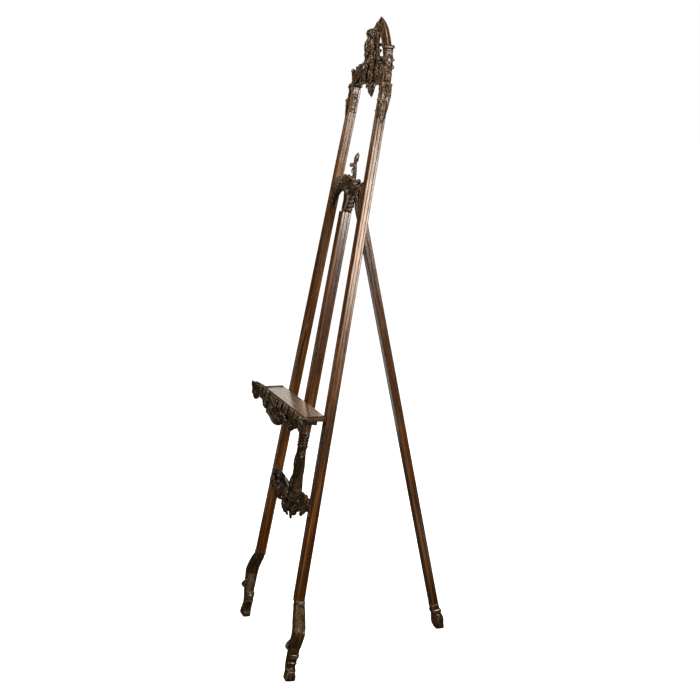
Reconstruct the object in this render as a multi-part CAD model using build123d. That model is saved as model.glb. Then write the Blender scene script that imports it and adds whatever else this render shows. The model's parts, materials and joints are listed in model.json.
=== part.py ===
from build123d import *
import os

# Carved walnut display easel: two stiles that lean back and converge, a hinged rear leg,
# and a shelf that slides on the centre post. Millimetres and degrees.
# "Frame coordinates": x across, q out of the leaning frame's plane (minus is the front), s up
# the lean from the floor line. "Stile coordinates": the same, turned onto one stile's own axis.

# ---------- driving dimensions ----------
LEAN = 11.09
LEG_LEAN = 11.08
FLOOR_MID_Y = -318.0
FRONT_LINE_Y = FLOOR_MID_Y - 4.2
LEG_LINE_Y = FLOOR_MID_Y + 635.0

STILE_HALF_SPREAD = 292.6
STILE_TILT = 3.84
STILE_W = 40.8
STILE_D = 30.2
STILE_BOTTOM = 262.0
STILE_TOP = 1955.0
STILE_TOP_W = 37.4
STILE_TOP_D = 27.6
STILE_TOP_Q = 2.4
SPREAD_AT_APEX = 145.6
APEX_S = 2191.0
FOOT_COLLAR = 10.0

CREST_X = 101.0
CREST_W = 30.0
CREST_D = 26.0
CREST_Q = 18.0
CREST_S = 2027.0
CAP_LOW = 2081.0
CAP_TOP = 2093.0
TIP_S = 2191.0

POST_W = 41.5
POST_D = 33.0
POST_Q = -3.0
POST_BOTTOM = 769.0
POST_TOP = 1532.0

LEG_W = 40.0
LEG_D = 26.5
LEG_BOTTOM = 96.0
GROOVE_R = 1.5
EDGE_R = 2.5

RAIL_BACK_Q = 12.0
RAIL_FRONT_Q = -20.0
TENON_DEPTH = 22.0
TENON_D = 10.0
PEG_R = 4.0
PEG_DEPTH = 10.0
DOWEL_R = 5.0
HOLE_GAP = 0.05

PIVOT_Q = 33.1
PIVOT_S = 1580.9
PIN_R = 5.0
PIN_RUNNING_GAP = 0.05
BUSH_R = 7.5
CHEEK_T = 12.0
CHEEK_GAP = 0.6
HEEL_GAP = 0.2
SCREW_R = 2.0
SCREW_HEAD_R = 4.0
SCREW_HEAD_H = 2.4

BOARD_TOP_Z = 862.7
BOARD_T = 18.0
BOARD_HALF_W = 291.0
BOARD_BACK_Y = FLOOR_MID_Y + 140.8
BOARD_FRONT_Y = FLOOR_MID_Y + 67.6
APRON_T = 18.0
BOSS_T = 15.0
CARRIAGE_LOW = 800.0
CARRIAGE_HIGH = 832.0
SLIDE_GAP = 0.5
GUIDE_T = 12.0
KEEPER_T = 12.0
CLAMP_R = 4.0
INSERT_R = 6.5
FLOOR_CUT = 400.0


def lean_back(shape):
    """Frame coordinates to the object's own frame."""
    return Pos(0, FRONT_LINE_Y, 0) * Rot(-LEAN, 0, 0) * shape


def lean_forward(shape):
    """Rear leg coordinates to the object's own frame."""
    return Pos(0, LEG_LINE_Y, 0) * Rot(LEG_LEAN, 0, 0) * shape


def on_stile(shape):
    """Right stile coordinates to frame coordinates."""
    return Pos(STILE_HALF_SPREAD, 0, 0) * Rot(0, -STILE_TILT, 0) * shape


def upright(shape):
    """Crest coordinates, which don't lean, to frame coordinates."""
    return Pos(0, CREST_Q, CREST_S) * Rot(LEAN, 0, 0) * Pos(0, -CREST_Q, -CREST_S) * shape


def other_side(shape):
    return mirror(shape, about=Plane.YZ)


def bar_between(half_x, q_low, q_high, s_low, s_high):
    """A box centred on x=0, given by its limits in q and s."""
    size = Box(2 * half_x, q_high - q_low, s_high - s_low)
    return Pos(0, (q_low + q_high) / 2, (s_low + s_high) / 2) * size


def block(x_low, x_high, q_low, q_high, s_low, s_high):
    size = Box(x_high - x_low, q_high - q_low, s_high - s_low)
    return Pos((x_low + x_high) / 2, (q_low + q_high) / 2, (s_low + s_high) / 2) * size


def rod_q(radius, x, s, q_low, q_high):
    """A round bar along q."""
    bar = Cylinder(radius, q_high - q_low)
    return Pos(x, (q_low + q_high) / 2, s) * Rot(90, 0, 0) * bar


def rod_x(radius, x_low, x_high, q, s):
    """A round bar along x."""
    bar = Cylinder(radius, x_high - x_low)
    return Pos((x_low + x_high) / 2, q, s) * Rot(0, 90, 0) * bar


def rod_up(radius, x, q, s_low, s_high):
    return Pos(x, q, (s_low + s_high) / 2) * Cylinder(radius, s_high - s_low)


def moulded_section(width, depth, front_lines, side_lines):
    """Softened corners, and scratch-moulded lines along the front and the sides."""
    section = Rectangle(width, depth)
    section = fillet(section.vertices(), EDGE_R)
    for x in front_lines:
        section -= Pos(x, -depth / 2) * Circle(GROOVE_R)
    for q in side_lines:
        section -= Pos(width / 2, q) * Circle(GROOVE_R)
        section -= Pos(-width / 2, q) * Circle(GROOVE_R)
    return section


def moulded_stick(width, depth, low, high, front_lines, side_lines):
    section = moulded_section(width, depth, front_lines, side_lines)
    return Pos(0, 0, low) * extrude(section, amount=high - low)


def lofted(stations):
    """A carved stem through rounded sections: (height, x, q, width, depth) from bottom to top."""
    sections = []
    for height, x, q, width, depth in stations:
        rounding = 0.3 * min(width, depth)
        sections.append(Pos(x, q, height) * RectangleRounded(width, depth, rounding))
    return loft(sections, ruled=True)


def carved_panel(upper, lower, q_low, q_high):
    """A symmetrical carved board. upper and lower are edge points from the centre outward."""
    top = Spline([(x, s) for x, s in upper])
    bottom = Spline([(x, s) for x, s in lower])
    middle = Line(upper[0], lower[0])
    end = Line(upper[-1], lower[-1])
    face = make_face([top, end, bottom, middle])
    half = extrude(Plane.XZ * face, amount=q_high - q_low)
    half = Pos(0, q_high, 0) * half
    return half + other_side(half)


def side_panel(points, q_low, q_high):
    """A carved piece of one side: a closed smooth outline in x and s."""
    face = make_face(Spline(points, periodic=True))
    return Pos(0, q_high, 0) * extrude(Plane.XZ * face, amount=q_high - q_low)


def stile_clearance():
    """The room that the plain stick of each stile takes, without its mouldings."""
    stick = block(-STILE_W / 2, STILE_W / 2, -STILE_D, STILE_D, 0, STILE_TOP)
    right = on_stile(stick)
    return right + other_side(right)


# ---------- joinery inside the frame ----------
UPPER_TENON = (1600.0, 1626.0)
LOWER_TENON = (540.0, 580.0)
POST_TENON = (9.0, 6.0, 16.0)


def half_spread(s):
    """Half the distance between the stile axes at a height s."""
    return STILE_HALF_SPREAD - s * (STILE_HALF_SPREAD - SPREAD_AT_APEX) / APEX_S


def rail_tenon(span, grow=0.0):
    """One bar that carries the tenons of a rail at both ends."""
    low, high = span
    reach = half_spread((low + high) / 2) - STILE_W / 2 + TENON_DEPTH + grow
    return bar_between(reach, -TENON_D / 2 - grow, TENON_D / 2 + grow, low - grow, high + grow)


def rail_pegs(radius):
    pegs = []
    for low, high in (UPPER_TENON, LOWER_TENON):
        s = (low + high) / 2
        x = half_spread(s) - STILE_W / 2 + TENON_DEPTH / 2
        for side in (-1, 1):
            pegs.append(rod_q(radius, side * x, s, -PEG_DEPTH, STILE_D / 2))
    return pegs


def post_tenon(s, grow=0.0):
    half_x, half_q, half_s = POST_TENON
    return block(
        -half_x - grow, half_x + grow,
        POST_Q - half_q - grow, POST_Q + half_q + grow,
        s - half_s - grow, s + half_s + grow,
    )


def foot_dowel(grow=0.0):
    return rod_up(DOWEL_R + grow, 0, 0, STILE_BOTTOM - 22 - grow, STILE_BOTTOM + 40 + grow)


def crest_dowel(grow=0.0):
    q = STILE_TOP_Q
    return rod_up(PEG_R + grow, 0, q, STILE_TOP - 25 - grow, STILE_TOP + 18 + grow)


# ---------- front frame ----------
def stile():
    low_end = moulded_section(STILE_W, STILE_D, (-11, 11), (-6, 6))
    high_end = moulded_section(STILE_TOP_W, STILE_TOP_D, (-10, 10), (-5.5, 5.5))
    high_end = Pos(0, STILE_TOP_Q, STILE_TOP) * high_end
    stick = loft([Pos(0, 0, STILE_BOTTOM) * low_end, high_end], ruled=True)
    stick = on_stile(stick - foot_dowel(HOLE_GAP) - crest_dowel(HOLE_GAP))
    stick -= rail_tenon(UPPER_TENON, HOLE_GAP)
    stick -= rail_tenon(LOWER_TENON, HOLE_GAP)
    for peg in rail_pegs(PEG_R + HOLE_GAP):
        stick -= peg
    return stick


def front_foot():
    """A cabriole foot: the knee swings outward, then an ankle and a scroll toe."""
    stem = lofted([
        (-20, 320, 0, 38, 27),
        (14, 322, 0, 40, 29),
        (32, 326, 0, 40, 29),
        (50, 317, 0, 36, 24),
        (68, 319, 1, 36, 24),
        (84, 324, 0, 40, 28),
        (104, 328, -1, 42, 34),
        (128, 331, -2, 44, 42),
        (150, 339, 0, 46, 38),
        (166, 341, 0, 46, 37),
        (184, 329, 1, 46, 36),
        (204, 317, 1, 45, 35),
        (224, 302, 1, 43, 34),
        (238, 289, 1, 43, 33),
        (STILE_BOTTOM, 275.5, 0, 43, 32),
    ])
    collar = Pos(0, 0, STILE_BOTTOM - FOOT_COLLAR / 2 - 1) * Box(46, 36, FOOT_COLLAR)
    spur = rod_x(7, 316, 340, -20, 120)
    stick_room = on_stile(block(-60, 60, -60, 60, STILE_BOTTOM, 400))
    return stem + on_stile(collar) + spur - stick_room - on_stile(foot_dowel(HOLE_GAP))


def crest_post():
    """The stile's head: a neck that steps inward, an upright block, a ring and a cap."""
    neck = lofted([
        (STILE_TOP, 161.4, STILE_TOP_Q, 40, 31),
        (1976, 157, 4, 40, 31),
        (1990, 143, 7, 38, 30),
        (2006, 121, 12, 34, 29),
        (2024, CREST_X, CREST_Q, CREST_W + 1, CREST_D),
    ])
    half_w = CREST_W / 2
    half_d = CREST_D / 2
    shaft = block(CREST_X - half_w, CREST_X + half_w, CREST_Q - half_d, CREST_Q + half_d, 2020,
                  CAP_LOW)
    ring = block(CREST_X - half_w - 3, CREST_X + half_w + 3, CREST_Q - half_d - 3,
                 CREST_Q + half_d + 3, 2019, CREST_S)
    cap = block(CREST_X - 18, CREST_X + 18, CREST_Q - 21, CREST_Q + 19, CAP_LOW, CAP_TOP)
    below = on_stile(block(-60, 60, -60, 60, STILE_TOP - 60, STILE_TOP))
    return neck + upright(shaft + ring + cap) - below - on_stile(crest_dowel(HOLE_GAP))


def shoulder_leaf():
    """The carved strip on a stile's outer face, with a leaf that stands up at its top."""
    strip = lofted([
        (1838, 188, 2, 8, 24),
        (1905, 185, -1, 12, 36),
        (1955, 182, -1, 16, 38),
        (1972, 178, -3, 24, 38),
        (1990, 170, -13, 34, 24),
        (2012, 168, -16, 32, 18),
        (2030, 154, -8, 24, 14),
        (2042, 145, -2, 14, 10),
    ])
    return strip - stile_clearance() - crest_post()


def upper_rail():
    panel = carved_panel(
        [(0, 1658), (34, 1652), (62, 1637), (98, 1643), (135, 1638), (160, 1624), (190, 1620)],
        [(0, 1530), (24, 1536), (34, 1560), (44, 1582), (66, 1595), (94, 1592), (126, 1566),
         (148, 1516), (160, 1498), (190, 1496)],
        RAIL_FRONT_Q, RAIL_BACK_Q,
    )
    panel -= block(-POST_W / 2, POST_W / 2, -60, 60, 1500, POST_TOP)
    panel -= stile_clearance()
    panel += rail_tenon(UPPER_TENON)
    panel -= post_tenon(POST_TOP, HOLE_GAP)
    for peg in rail_pegs(PEG_R + HOLE_GAP):
        panel -= peg
    for screw in cheek_screws(SCREW_R + HOLE_GAP):
        panel -= screw
    return panel - finial_dowel(HOLE_GAP)


def finial_dowel(grow=0.0):
    return rod_up(PEG_R + grow, 0, 3, 1630 - grow, 1672 + grow)


def rail_finial():
    """A stem with a bud on its front and a curled leaf that leans back."""
    stem = lofted([
        (1650, 0, 4.5, 18, 15),
        (1670, 0, 3, 15, 12.5),
        (1690, 0, 0, 15, 12),
        (1708, 0, -0.5, 17, 13),
        (1722, 0, 2, 15, 10),
        (1732, 0, 4, 9, 6),
    ])
    bud = Pos(0, -11, 1690) * Sphere(7.5)
    return stem + bud - finial_dowel(HOLE_GAP) - upper_rail()


def lower_rail():
    """The carved swag between the stiles."""
    panel = carved_panel(
        [(0, 584), (60, 574), (115, 588), (165, 584), (212, 592), (258, 574)],
        [(0, 490), (26, 468), (52, 480), (88, 498), (145, 513), (200, 524), (232, 518),
         (258, 514)],
        -22, 12,
    )
    panel -= stile_clearance()
    panel += rail_tenon(LOWER_TENON)
    panel -= post_tenon(566, HOLE_GAP)
    panel -= block(-24, 24, -60, 60, 566, 700)
    for peg in rail_pegs(PEG_R + HOLE_GAP):
        panel -= peg
    return panel


def centre_post():
    post = moulded_stick(POST_W, POST_D, POST_BOTTOM, POST_TOP, (-11, 11), (-6.5, 6.5))
    post = Pos(0, POST_Q, 0) * post
    return post + post_tenon(POST_TOP) - post_tenon(POST_BOTTOM, HOLE_GAP)


def centre_console():
    """The S-shaped carved piece between the lower rail and the post."""
    stem = lofted([
        (566, 0, 1, 40, 28),
        (610, 0, 1, 36, 28),
        (646, 0, 1, 38, 29),
        (700, 0, 0, 36, 26),
        (741, 0, -1, 37, 27),
        (POST_BOTTOM, 0, POST_Q, POST_W, POST_D),
    ])
    return stem + post_tenon(POST_BOTTOM) + post_tenon(566)


def crest_cartouche():
    """The carved shield in the middle of the crest, which bulges forward."""
    return lofted([
        (1962, 0, 4, 60, 24),
        (2000, 0, 0, 84, 40),
        (2036, 0, -8, 78, 44),
        (2065, 0, -10, 76, 50),
        (2107, 0, -4, 74, 52),
        (2137, 0, 2, 60, 50),
        (2150, 0, 8, 42, 36),
        (2162, 0, 14, 26, 24),
    ])


def crest_arch():
    """One side of the crest: the blade from a cap to the tip, and the pierced bracket."""
    outer = Spline((104, CAP_TOP), (86, 2108), (75, 2130), (58, 2152), (34, 2172), (0, TIP_S))
    inner = Spline((74, CAP_TOP), (62, 2108), (50, 2126), (32, 2143), (14, 2156), (0, 2164))
    face = make_face([outer, Line((0, TIP_S), (0, 2164)), inner,
                      Line((104, CAP_TOP), (74, CAP_TOP))])
    blade = Pos(0, 31, 0) * extrude(Plane.XZ * face, amount=17)
    bracket = side_panel(
        [(92, 2080), (80, 2100), (56, 2112), (30, 2090), (28, 2020), (34, 1972), (70, 1962),
         (110, 1964), (150, 1968), (150, 1990), (118, 2012), (98, 2040)],
        0, 16,
    )
    hole = side_panel([(80, 2082), (68, 2098), (50, 2096), (42, 2078), (44, 2060), (60, 2052),
                       (76, 2062)], -60, 60)
    arch = blade + bracket - hole - crest_cartouche()
    return upright(arch) - crest_post() - shoulder_leaf() - stile_clearance()


def crest_pendant():
    """The leaf drop under the cartouche."""
    return lofted([
        (1924, 0, -5, 9, 8),
        (1936, 0, -4, 26, 14),
        (1962, 0, 2, 44, 22),
    ])


# ---------- rear leg and its hinge ----------
def pivot_in_leg():
    """The pin's place in the rear leg's own coordinates."""
    world = lean_back(Pos(0, PIVOT_Q, PIVOT_S) * Sphere(1)).center()
    point = Vector(world.X, world.Y - LEG_LINE_Y, world.Z)
    return point.rotate(Axis.X, -LEG_LEAN)


def rear_leg_post():
    pivot = pivot_in_leg()
    stick = moulded_stick(LEG_W, LEG_D, LEG_BOTTOM, pivot.Z + 28, (-12, 12), (0,))
    stick -= rod_up(DOWEL_R + HOLE_GAP, 0, 0, 60, LEG_BOTTOM + 40)
    stick -= rod_x(BUSH_R + 0.02, -LEG_W, LEG_W, pivot.Y, pivot.Z)
    stick = lean_forward(stick)
    return stick - lean_back(bar_between(60, -60, RAIL_BACK_Q + HEEL_GAP, 1500, 1700))


def rear_foot():
    foot = lofted([
        (-30, 0, 3, 40, 31),
        (18, 0, 3, 44, 33),
        (58, 0, 3, 42, 34),
        (LEG_BOTTOM, 0, 0, LEG_W, LEG_D),
    ])
    return lean_forward(foot - rod_up(DOWEL_R + HOLE_GAP, 0, 0, 55, LEG_BOTTOM + 1))


def leg_bush():
    length = LEG_W / 2 + 0.2
    tube = rod_x(BUSH_R, -length, length, PIVOT_Q, PIVOT_S)
    return tube - rod_x(PIN_R + PIN_RUNNING_GAP, -length - 1, length + 1, PIVOT_Q, PIVOT_S)


def hinge_cheek():
    """One wooden ear behind the upper rail. The pin passes through it."""
    inner = LEG_W / 2 + CHEEK_GAP
    ear = block(inner, inner + CHEEK_T, RAIL_BACK_Q, PIVOT_Q, 1550, 1614)
    ear += rod_x(17, inner, inner + CHEEK_T, PIVOT_Q, PIVOT_S)
    ear -= rod_x(PIN_R + 0.01, 0, 60, PIVOT_Q, PIVOT_S)
    for screw in cheek_screws(SCREW_R + HOLE_GAP):
        ear -= screw
    return ear


def cheek_screws(radius):
    """Countersunk screws that run from the cheeks' backs into the rail."""
    x = LEG_W / 2 + CHEEK_GAP + CHEEK_T / 2
    screws = []
    for side in (-1, 1):
        for s in (1557, 1607):
            shank = rod_q(radius, side * x, s, RAIL_BACK_Q - 16, PIVOT_Q)
            screws.append(shank)
    return screws


def cheek_screw_set():
    screws = []
    for shank in cheek_screws(SCREW_R):
        at = shank.center()
        head = rod_q(SCREW_HEAD_R, at.X, at.Z, PIVOT_Q, PIVOT_Q + SCREW_HEAD_H)
        slot = block(at.X - 3, at.X + 3, PIVOT_Q + 1.6, PIVOT_Q + 4, at.Z - 0.4, at.Z + 0.4)
        screws.append(shank + head - slot)
    return Compound(children=screws)


def hinge_pin():
    reach = LEG_W / 2 + CHEEK_GAP + CHEEK_T
    return rod_x(PIN_R, -reach - 7, reach + 7, PIVOT_Q, PIVOT_S)


def pin_washers():
    face = LEG_W / 2 + CHEEK_GAP + CHEEK_T
    washers = []
    for side in (-1, 1):
        low, high = sorted((side * face, side * (face + 1.2)))
        ring = rod_x(9, low, high, PIVOT_Q, PIVOT_S)
        washers.append(ring - rod_x(PIN_R + HOLE_GAP, -60, 60, PIVOT_Q, PIVOT_S))
    return Compound(children=washers)


def pin_nuts():
    """Round brass cap nuts on both ends of the pin."""
    face = LEG_W / 2 + CHEEK_GAP + CHEEK_T + 1.2
    pin_end = LEG_W / 2 + CHEEK_GAP + CHEEK_T + 7
    nuts = []
    for side in (-1, 1):
        low, high = sorted((side * face, side * (face + 6)))
        cap = rod_x(8, low, high, PIVOT_Q, PIVOT_S)
        cap += Pos(side * (face + 6), PIVOT_Q, PIVOT_S) * Sphere(5.6)
        bore = rod_x(PIN_R + HOLE_GAP, -pin_end - 0.1, pin_end + 0.1, PIVOT_Q, PIVOT_S)
        nuts.append(cap - bore)
    return Compound(children=nuts)


# ---------- shelf, in the object's own frame ----------
def shelf_board():
    plan = Rectangle(2 * BOARD_HALF_W, BOARD_BACK_Y - BOARD_FRONT_Y)
    corners = plan.vertices().sort_by(Axis.Y)
    plan = fillet(corners[2:], 22)
    front = plan.vertices().sort_by(Axis.Y)[:2]
    plan = fillet(front, 6)
    slab = extrude(plan, amount=BOARD_T)
    top_edges = slab.edges().group_by(Axis.Z)[-1]
    slab = fillet(top_edges, 2.5)
    slab = Pos(0, (BOARD_BACK_Y + BOARD_FRONT_Y) / 2, BOARD_TOP_Z - BOARD_T) * slab
    for screw in guide_screws(SCREW_R + HOLE_GAP):
        slab -= screw
    return slab


def shelf_apron():
    """The carved front: a deep lobe that bulges in the middle, and a lower one on each side."""
    top = BOARD_TOP_Z - 1.5
    front = BOARD_FRONT_Y - APRON_T
    panel = carved_panel(
        [(0, top), (BOARD_HALF_W / 2, top + 0.01), (BOARD_HALF_W, top)],
        [(0, top - 74), (40, top - 76), (80, top - 62), (118, top - 44), (156, top - 50),
         (198, top - 52), (240, top - 36), (BOARD_HALF_W, top - 30)],
        front, BOARD_FRONT_Y,
    )
    boss = carved_panel(
        [(0, top - 8), (40, top - 10), (72, top - 24)],
        [(0, top - 78), (36, top - 78), (72, top - 62)],
        front - BOSS_T, front,
    )
    return panel + boss


def shelf_ear():
    """The flared scroll past the shelf's right end."""
    edge = BOARD_HALF_W
    face = make_face(Spline(
        [(edge, 822), (edge + 18, 808), (edge + 38, 822), (edge + 42, 852), (edge + 44, 874),
         (edge + 24, 870), (edge, 861)]
    ) + Line((edge, 861), (edge, 822)))
    blank = extrude(Plane.XZ * face, amount=34)
    return Pos(0, BOARD_FRONT_Y + 6, 0) * blank


def guide_cheek():
    """One side of the carriage: a wooden ear under the board that runs beside the post."""
    inner = POST_W / 2 + SLIDE_GAP
    back = POST_Q + POST_D / 2 + SLIDE_GAP
    ear = lean_back(block(inner, inner + GUIDE_T, -76, back, CARRIAGE_LOW, 890))
    above = block(-100, 100, FLOOR_MID_Y - 100, FLOOR_MID_Y + 400, BOARD_TOP_Z - BOARD_T, 1200)
    behind = lean_back(block(-100, 100, -22, 60, CARRIAGE_HIGH, 1200))
    in_front = block(-100, 100, FLOOR_MID_Y - 100, BOARD_FRONT_Y + 2, 0, 1200)
    ear = ear - above - behind - in_front
    for screw in keeper_screws(SCREW_R + HOLE_GAP) + guide_screws(SCREW_R + HOLE_GAP):
        ear -= screw
    return ear


def guide_screws(radius):
    """Screws through the board down into the guide cheeks."""
    x = POST_W / 2 + SLIDE_GAP + GUIDE_T / 2
    screws = []
    for side in (-1, 1):
        for y in (BOARD_FRONT_Y + 20, BOARD_FRONT_Y + 52):
            screws.append(rod_up(radius, side * x, y, BOARD_TOP_Z - BOARD_T - 16, BOARD_TOP_Z - 6))
    return screws


def keeper_screws(radius):
    """Screws through the keeper into the ends of the guide cheeks."""
    x = POST_W / 2 + SLIDE_GAP + GUIDE_T / 2
    back = POST_Q + POST_D / 2 + SLIDE_GAP + KEEPER_T
    s = (CARRIAGE_LOW + CARRIAGE_HIGH) / 2
    return [lean_back(rod_q(radius, side * x, s, back - 36, back)) for side in (-1, 1)]


def keeper_screw_set():
    x = POST_W / 2 + SLIDE_GAP + GUIDE_T / 2
    back = POST_Q + POST_D / 2 + SLIDE_GAP + KEEPER_T
    s = (CARRIAGE_LOW + CARRIAGE_HIGH) / 2
    screws = []
    for side in (-1, 1):
        shank = rod_q(SCREW_R, side * x, s, back - 36, back)
        head = rod_q(SCREW_HEAD_R, side * x, s, back, back + SCREW_HEAD_H)
        slot = block(side * x - 3, side * x + 3, back + 1.6, back + 4, s - 0.4, s + 0.4)
        screws.append(lean_back(shank + head - slot))
    return Compound(children=screws)


def rear_keeper():
    """The bar behind the post that joins the guide cheeks and holds the clamp screw."""
    front = POST_Q + POST_D / 2 + SLIDE_GAP
    half = POST_W / 2 + SLIDE_GAP + GUIDE_T
    s = (CARRIAGE_LOW + CARRIAGE_HIGH) / 2
    bar = bar_between(half, front, front + KEEPER_T, CARRIAGE_LOW, CARRIAGE_HIGH)
    bar -= rod_q(INSERT_R + 0.02, 0, s, front - 1, front + KEEPER_T + 1)
    bar = lean_back(bar)
    for screw in keeper_screws(SCREW_R + HOLE_GAP):
        bar -= screw
    return bar


def threaded_insert():
    front = POST_Q + POST_D / 2 + SLIDE_GAP
    s = (CARRIAGE_LOW + CARRIAGE_HIGH) / 2
    sleeve = rod_q(INSERT_R, 0, s, front, front + KEEPER_T)
    return lean_back(sleeve - rod_q(CLAMP_R + HOLE_GAP, 0, s, front - 1, front + KEEPER_T + 1))


def clamp_screw():
    """The thumb screw: a shank that bears on the post's back, and a wing to turn it by."""
    front = POST_Q + POST_D / 2 + 0.1
    back = POST_Q + POST_D / 2 + SLIDE_GAP + KEEPER_T
    s = (CARRIAGE_LOW + CARRIAGE_HIGH) / 2
    shank = rod_q(CLAMP_R, 0, s, front, back + 6)
    hub = rod_q(7, 0, s, back + 1, back + 7)
    wing = block(-15, 15, back + 6, back + 15, s - 2.2, s + 2.2)
    wing -= block(-4, 4, back + 11, back + 30, s - 9, s + 9)
    return lean_back(shank + hub + wing)


def above_floor(shape):
    """Cuts a foot flat where it stands."""
    return shape - Pos(0, 0, -FLOOR_CUT / 2) * Box(2000, 2000, FLOOR_CUT)


def front_frame_nodes():
    right_stile = stile()
    right_foot = front_foot()
    right_crest_post = crest_post()
    right_leaf = shoulder_leaf()
    right_arch = crest_arch()
    right_cheek = hinge_cheek()
    dowels = on_stile(foot_dowel())
    pins = on_stile(crest_dowel())
    return {
        "right_stile": right_stile,
        "left_stile": other_side(right_stile),
        "right_foot": right_foot,
        "left_foot": other_side(right_foot),
        "right_crest_post": right_crest_post,
        "left_crest_post": other_side(right_crest_post),
        "right_shoulder_leaf": right_leaf,
        "left_shoulder_leaf": other_side(right_leaf),
        "upper_rail": upper_rail(),
        "lower_rail": lower_rail(),
        "rail_finial": rail_finial(),
        "finial_dowel": finial_dowel(),
        "centre_post": centre_post(),
        "centre_console": centre_console(),
        "crest_cartouche": upright(crest_cartouche()),
        "crest_right_arch": right_arch,
        "crest_left_arch": other_side(right_arch),
        "crest_pendant": upright(crest_pendant()),
        "rail_pegs": Compound(children=rail_pegs(PEG_R)),
        "foot_dowels": Compound(children=[dowels, other_side(dowels)]),
        "crest_dowels": Compound(children=[pins, other_side(pins)]),
        "right_hinge_cheek": right_cheek,
        "left_hinge_cheek": other_side(right_cheek),
        "cheek_screws": cheek_screw_set(),
        "hinge_pin": hinge_pin(),
        "pin_washers": pin_washers(),
        "pin_nuts": pin_nuts(),
    }


def standing_nodes():
    """The nodes that are already in the object's own frame."""
    right_guide = guide_cheek()
    right_ear = shelf_ear()
    leg_dowel = lean_forward(rod_up(DOWEL_R, 0, 0, 58, LEG_BOTTOM + 36))
    return {
        "rear_leg_post": rear_leg_post(),
        "rear_foot": rear_foot(),
        "rear_foot_dowel": leg_dowel,
        "leg_bush": lean_back(leg_bush()),
        "shelf_board": shelf_board(),
        "shelf_apron": shelf_apron(),
        "right_shelf_ear": right_ear,
        "left_shelf_ear": other_side(right_ear),
        "right_guide_cheek": right_guide,
        "left_guide_cheek": other_side(right_guide),
        "guide_screws": Compound(children=guide_screws(SCREW_R)),
        "rear_keeper": rear_keeper(),
        "keeper_screws": keeper_screw_set(),
        "threaded_insert": threaded_insert(),
        "clamp_screw": clamp_screw(),
    }


def main():
    os.makedirs("parts", exist_ok=True)
    nodes = {name: lean_back(shape) for name, shape in front_frame_nodes().items()}
    nodes.update(standing_nodes())
    for name in ("left_foot", "right_foot", "rear_foot"):
        nodes[name] = above_floor(nodes[name])
    boxes = [shape.bounding_box() for shape in nodes.values()]
    low_y = min(box.min.Y for box in boxes)
    high_y = max(box.max.Y for box in boxes)
    print("middle of the depth", round((low_y + high_y) / 2, 2), "height", max(b.max.Z for b in boxes))
    for name, shape in nodes.items():
        export_step(shape, f"parts/{name}.step")


main()
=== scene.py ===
import json
import math
import bpy
import numpy as np
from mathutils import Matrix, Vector


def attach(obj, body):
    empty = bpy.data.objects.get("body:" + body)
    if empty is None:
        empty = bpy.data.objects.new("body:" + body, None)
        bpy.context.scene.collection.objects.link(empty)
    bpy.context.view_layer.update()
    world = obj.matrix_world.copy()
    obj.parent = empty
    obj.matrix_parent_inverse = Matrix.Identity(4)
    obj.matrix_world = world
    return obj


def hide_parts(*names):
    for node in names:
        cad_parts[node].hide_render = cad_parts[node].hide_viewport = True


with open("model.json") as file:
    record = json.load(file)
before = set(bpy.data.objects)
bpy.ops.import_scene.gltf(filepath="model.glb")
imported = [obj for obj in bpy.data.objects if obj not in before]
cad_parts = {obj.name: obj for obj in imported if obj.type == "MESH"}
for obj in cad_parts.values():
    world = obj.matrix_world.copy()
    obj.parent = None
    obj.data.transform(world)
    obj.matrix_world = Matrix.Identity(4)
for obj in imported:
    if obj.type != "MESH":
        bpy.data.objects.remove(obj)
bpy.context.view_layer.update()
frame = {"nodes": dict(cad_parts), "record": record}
nodes = frame["nodes"]
MM = 0.001  # the carvings are drawn in millimetres and the scene is in metres

# ---------- the frame's own coordinates: x across, q out of the leaning plane, s up the lean ----------
SLIDE = next(j for j in frame["record"]["behaviour"]["joints"] if j["name"] == "shelf_slide")
LEAN = math.atan2(SLIDE["axis"][1], SLIDE["axis"][2])
FLOOR_MID_Y = -318.0  # the line midway between the front feet
FRONT_LINE_Y = FLOOR_MID_Y - 4.2  # where the front plane meets the floor
LEG_LINE_Y = FLOOR_MID_Y + 635.0  # where the rear leg's axis meets the floor
LEG_LEAN = math.radians(11.08)
STILE_TILT = math.radians(3.84)
CREST_Q = 18.0
CREST_S = 2027.0
FRONT = (0, -1, 0)
BACK = (0, 1, 0)
OTHER_SIDE = np.array([-1, 1, 1])


def frame_to_object(points):
    """Frame millimetres to the object's own millimetres."""
    x, q, s = points[..., 0], points[..., 1], points[..., 2]
    y = FRONT_LINE_Y + q * math.cos(LEAN) + s * math.sin(LEAN)
    z = -q * math.sin(LEAN) + s * math.cos(LEAN)
    return np.stack([x, y, z], -1)


def crest_to_object(points):
    """Crest millimetres, which stand upright on the leaning frame, to the object's own."""
    base = frame_to_object(np.array([0, CREST_Q, CREST_S]))
    shift = np.array([0, base[1] - CREST_Q, base[2] - CREST_S])
    return points + shift


def leg_to_object(points):
    """Leg millimetres, x across, v out of the leg and w up it, to the object's own."""
    x, v, w = points[..., 0], points[..., 1], points[..., 2]
    y = LEG_LINE_Y + v * math.cos(LEG_LEAN) - w * math.sin(LEG_LEAN)
    z = v * math.sin(LEG_LEAN) + w * math.cos(LEG_LEAN)
    return np.stack([x, y, z], -1)


def shelf_to_object(points):
    """Shelf millimetres: y measured from the line midway between the front feet."""
    return points + np.array([0, FLOOR_MID_Y, 0])


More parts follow.
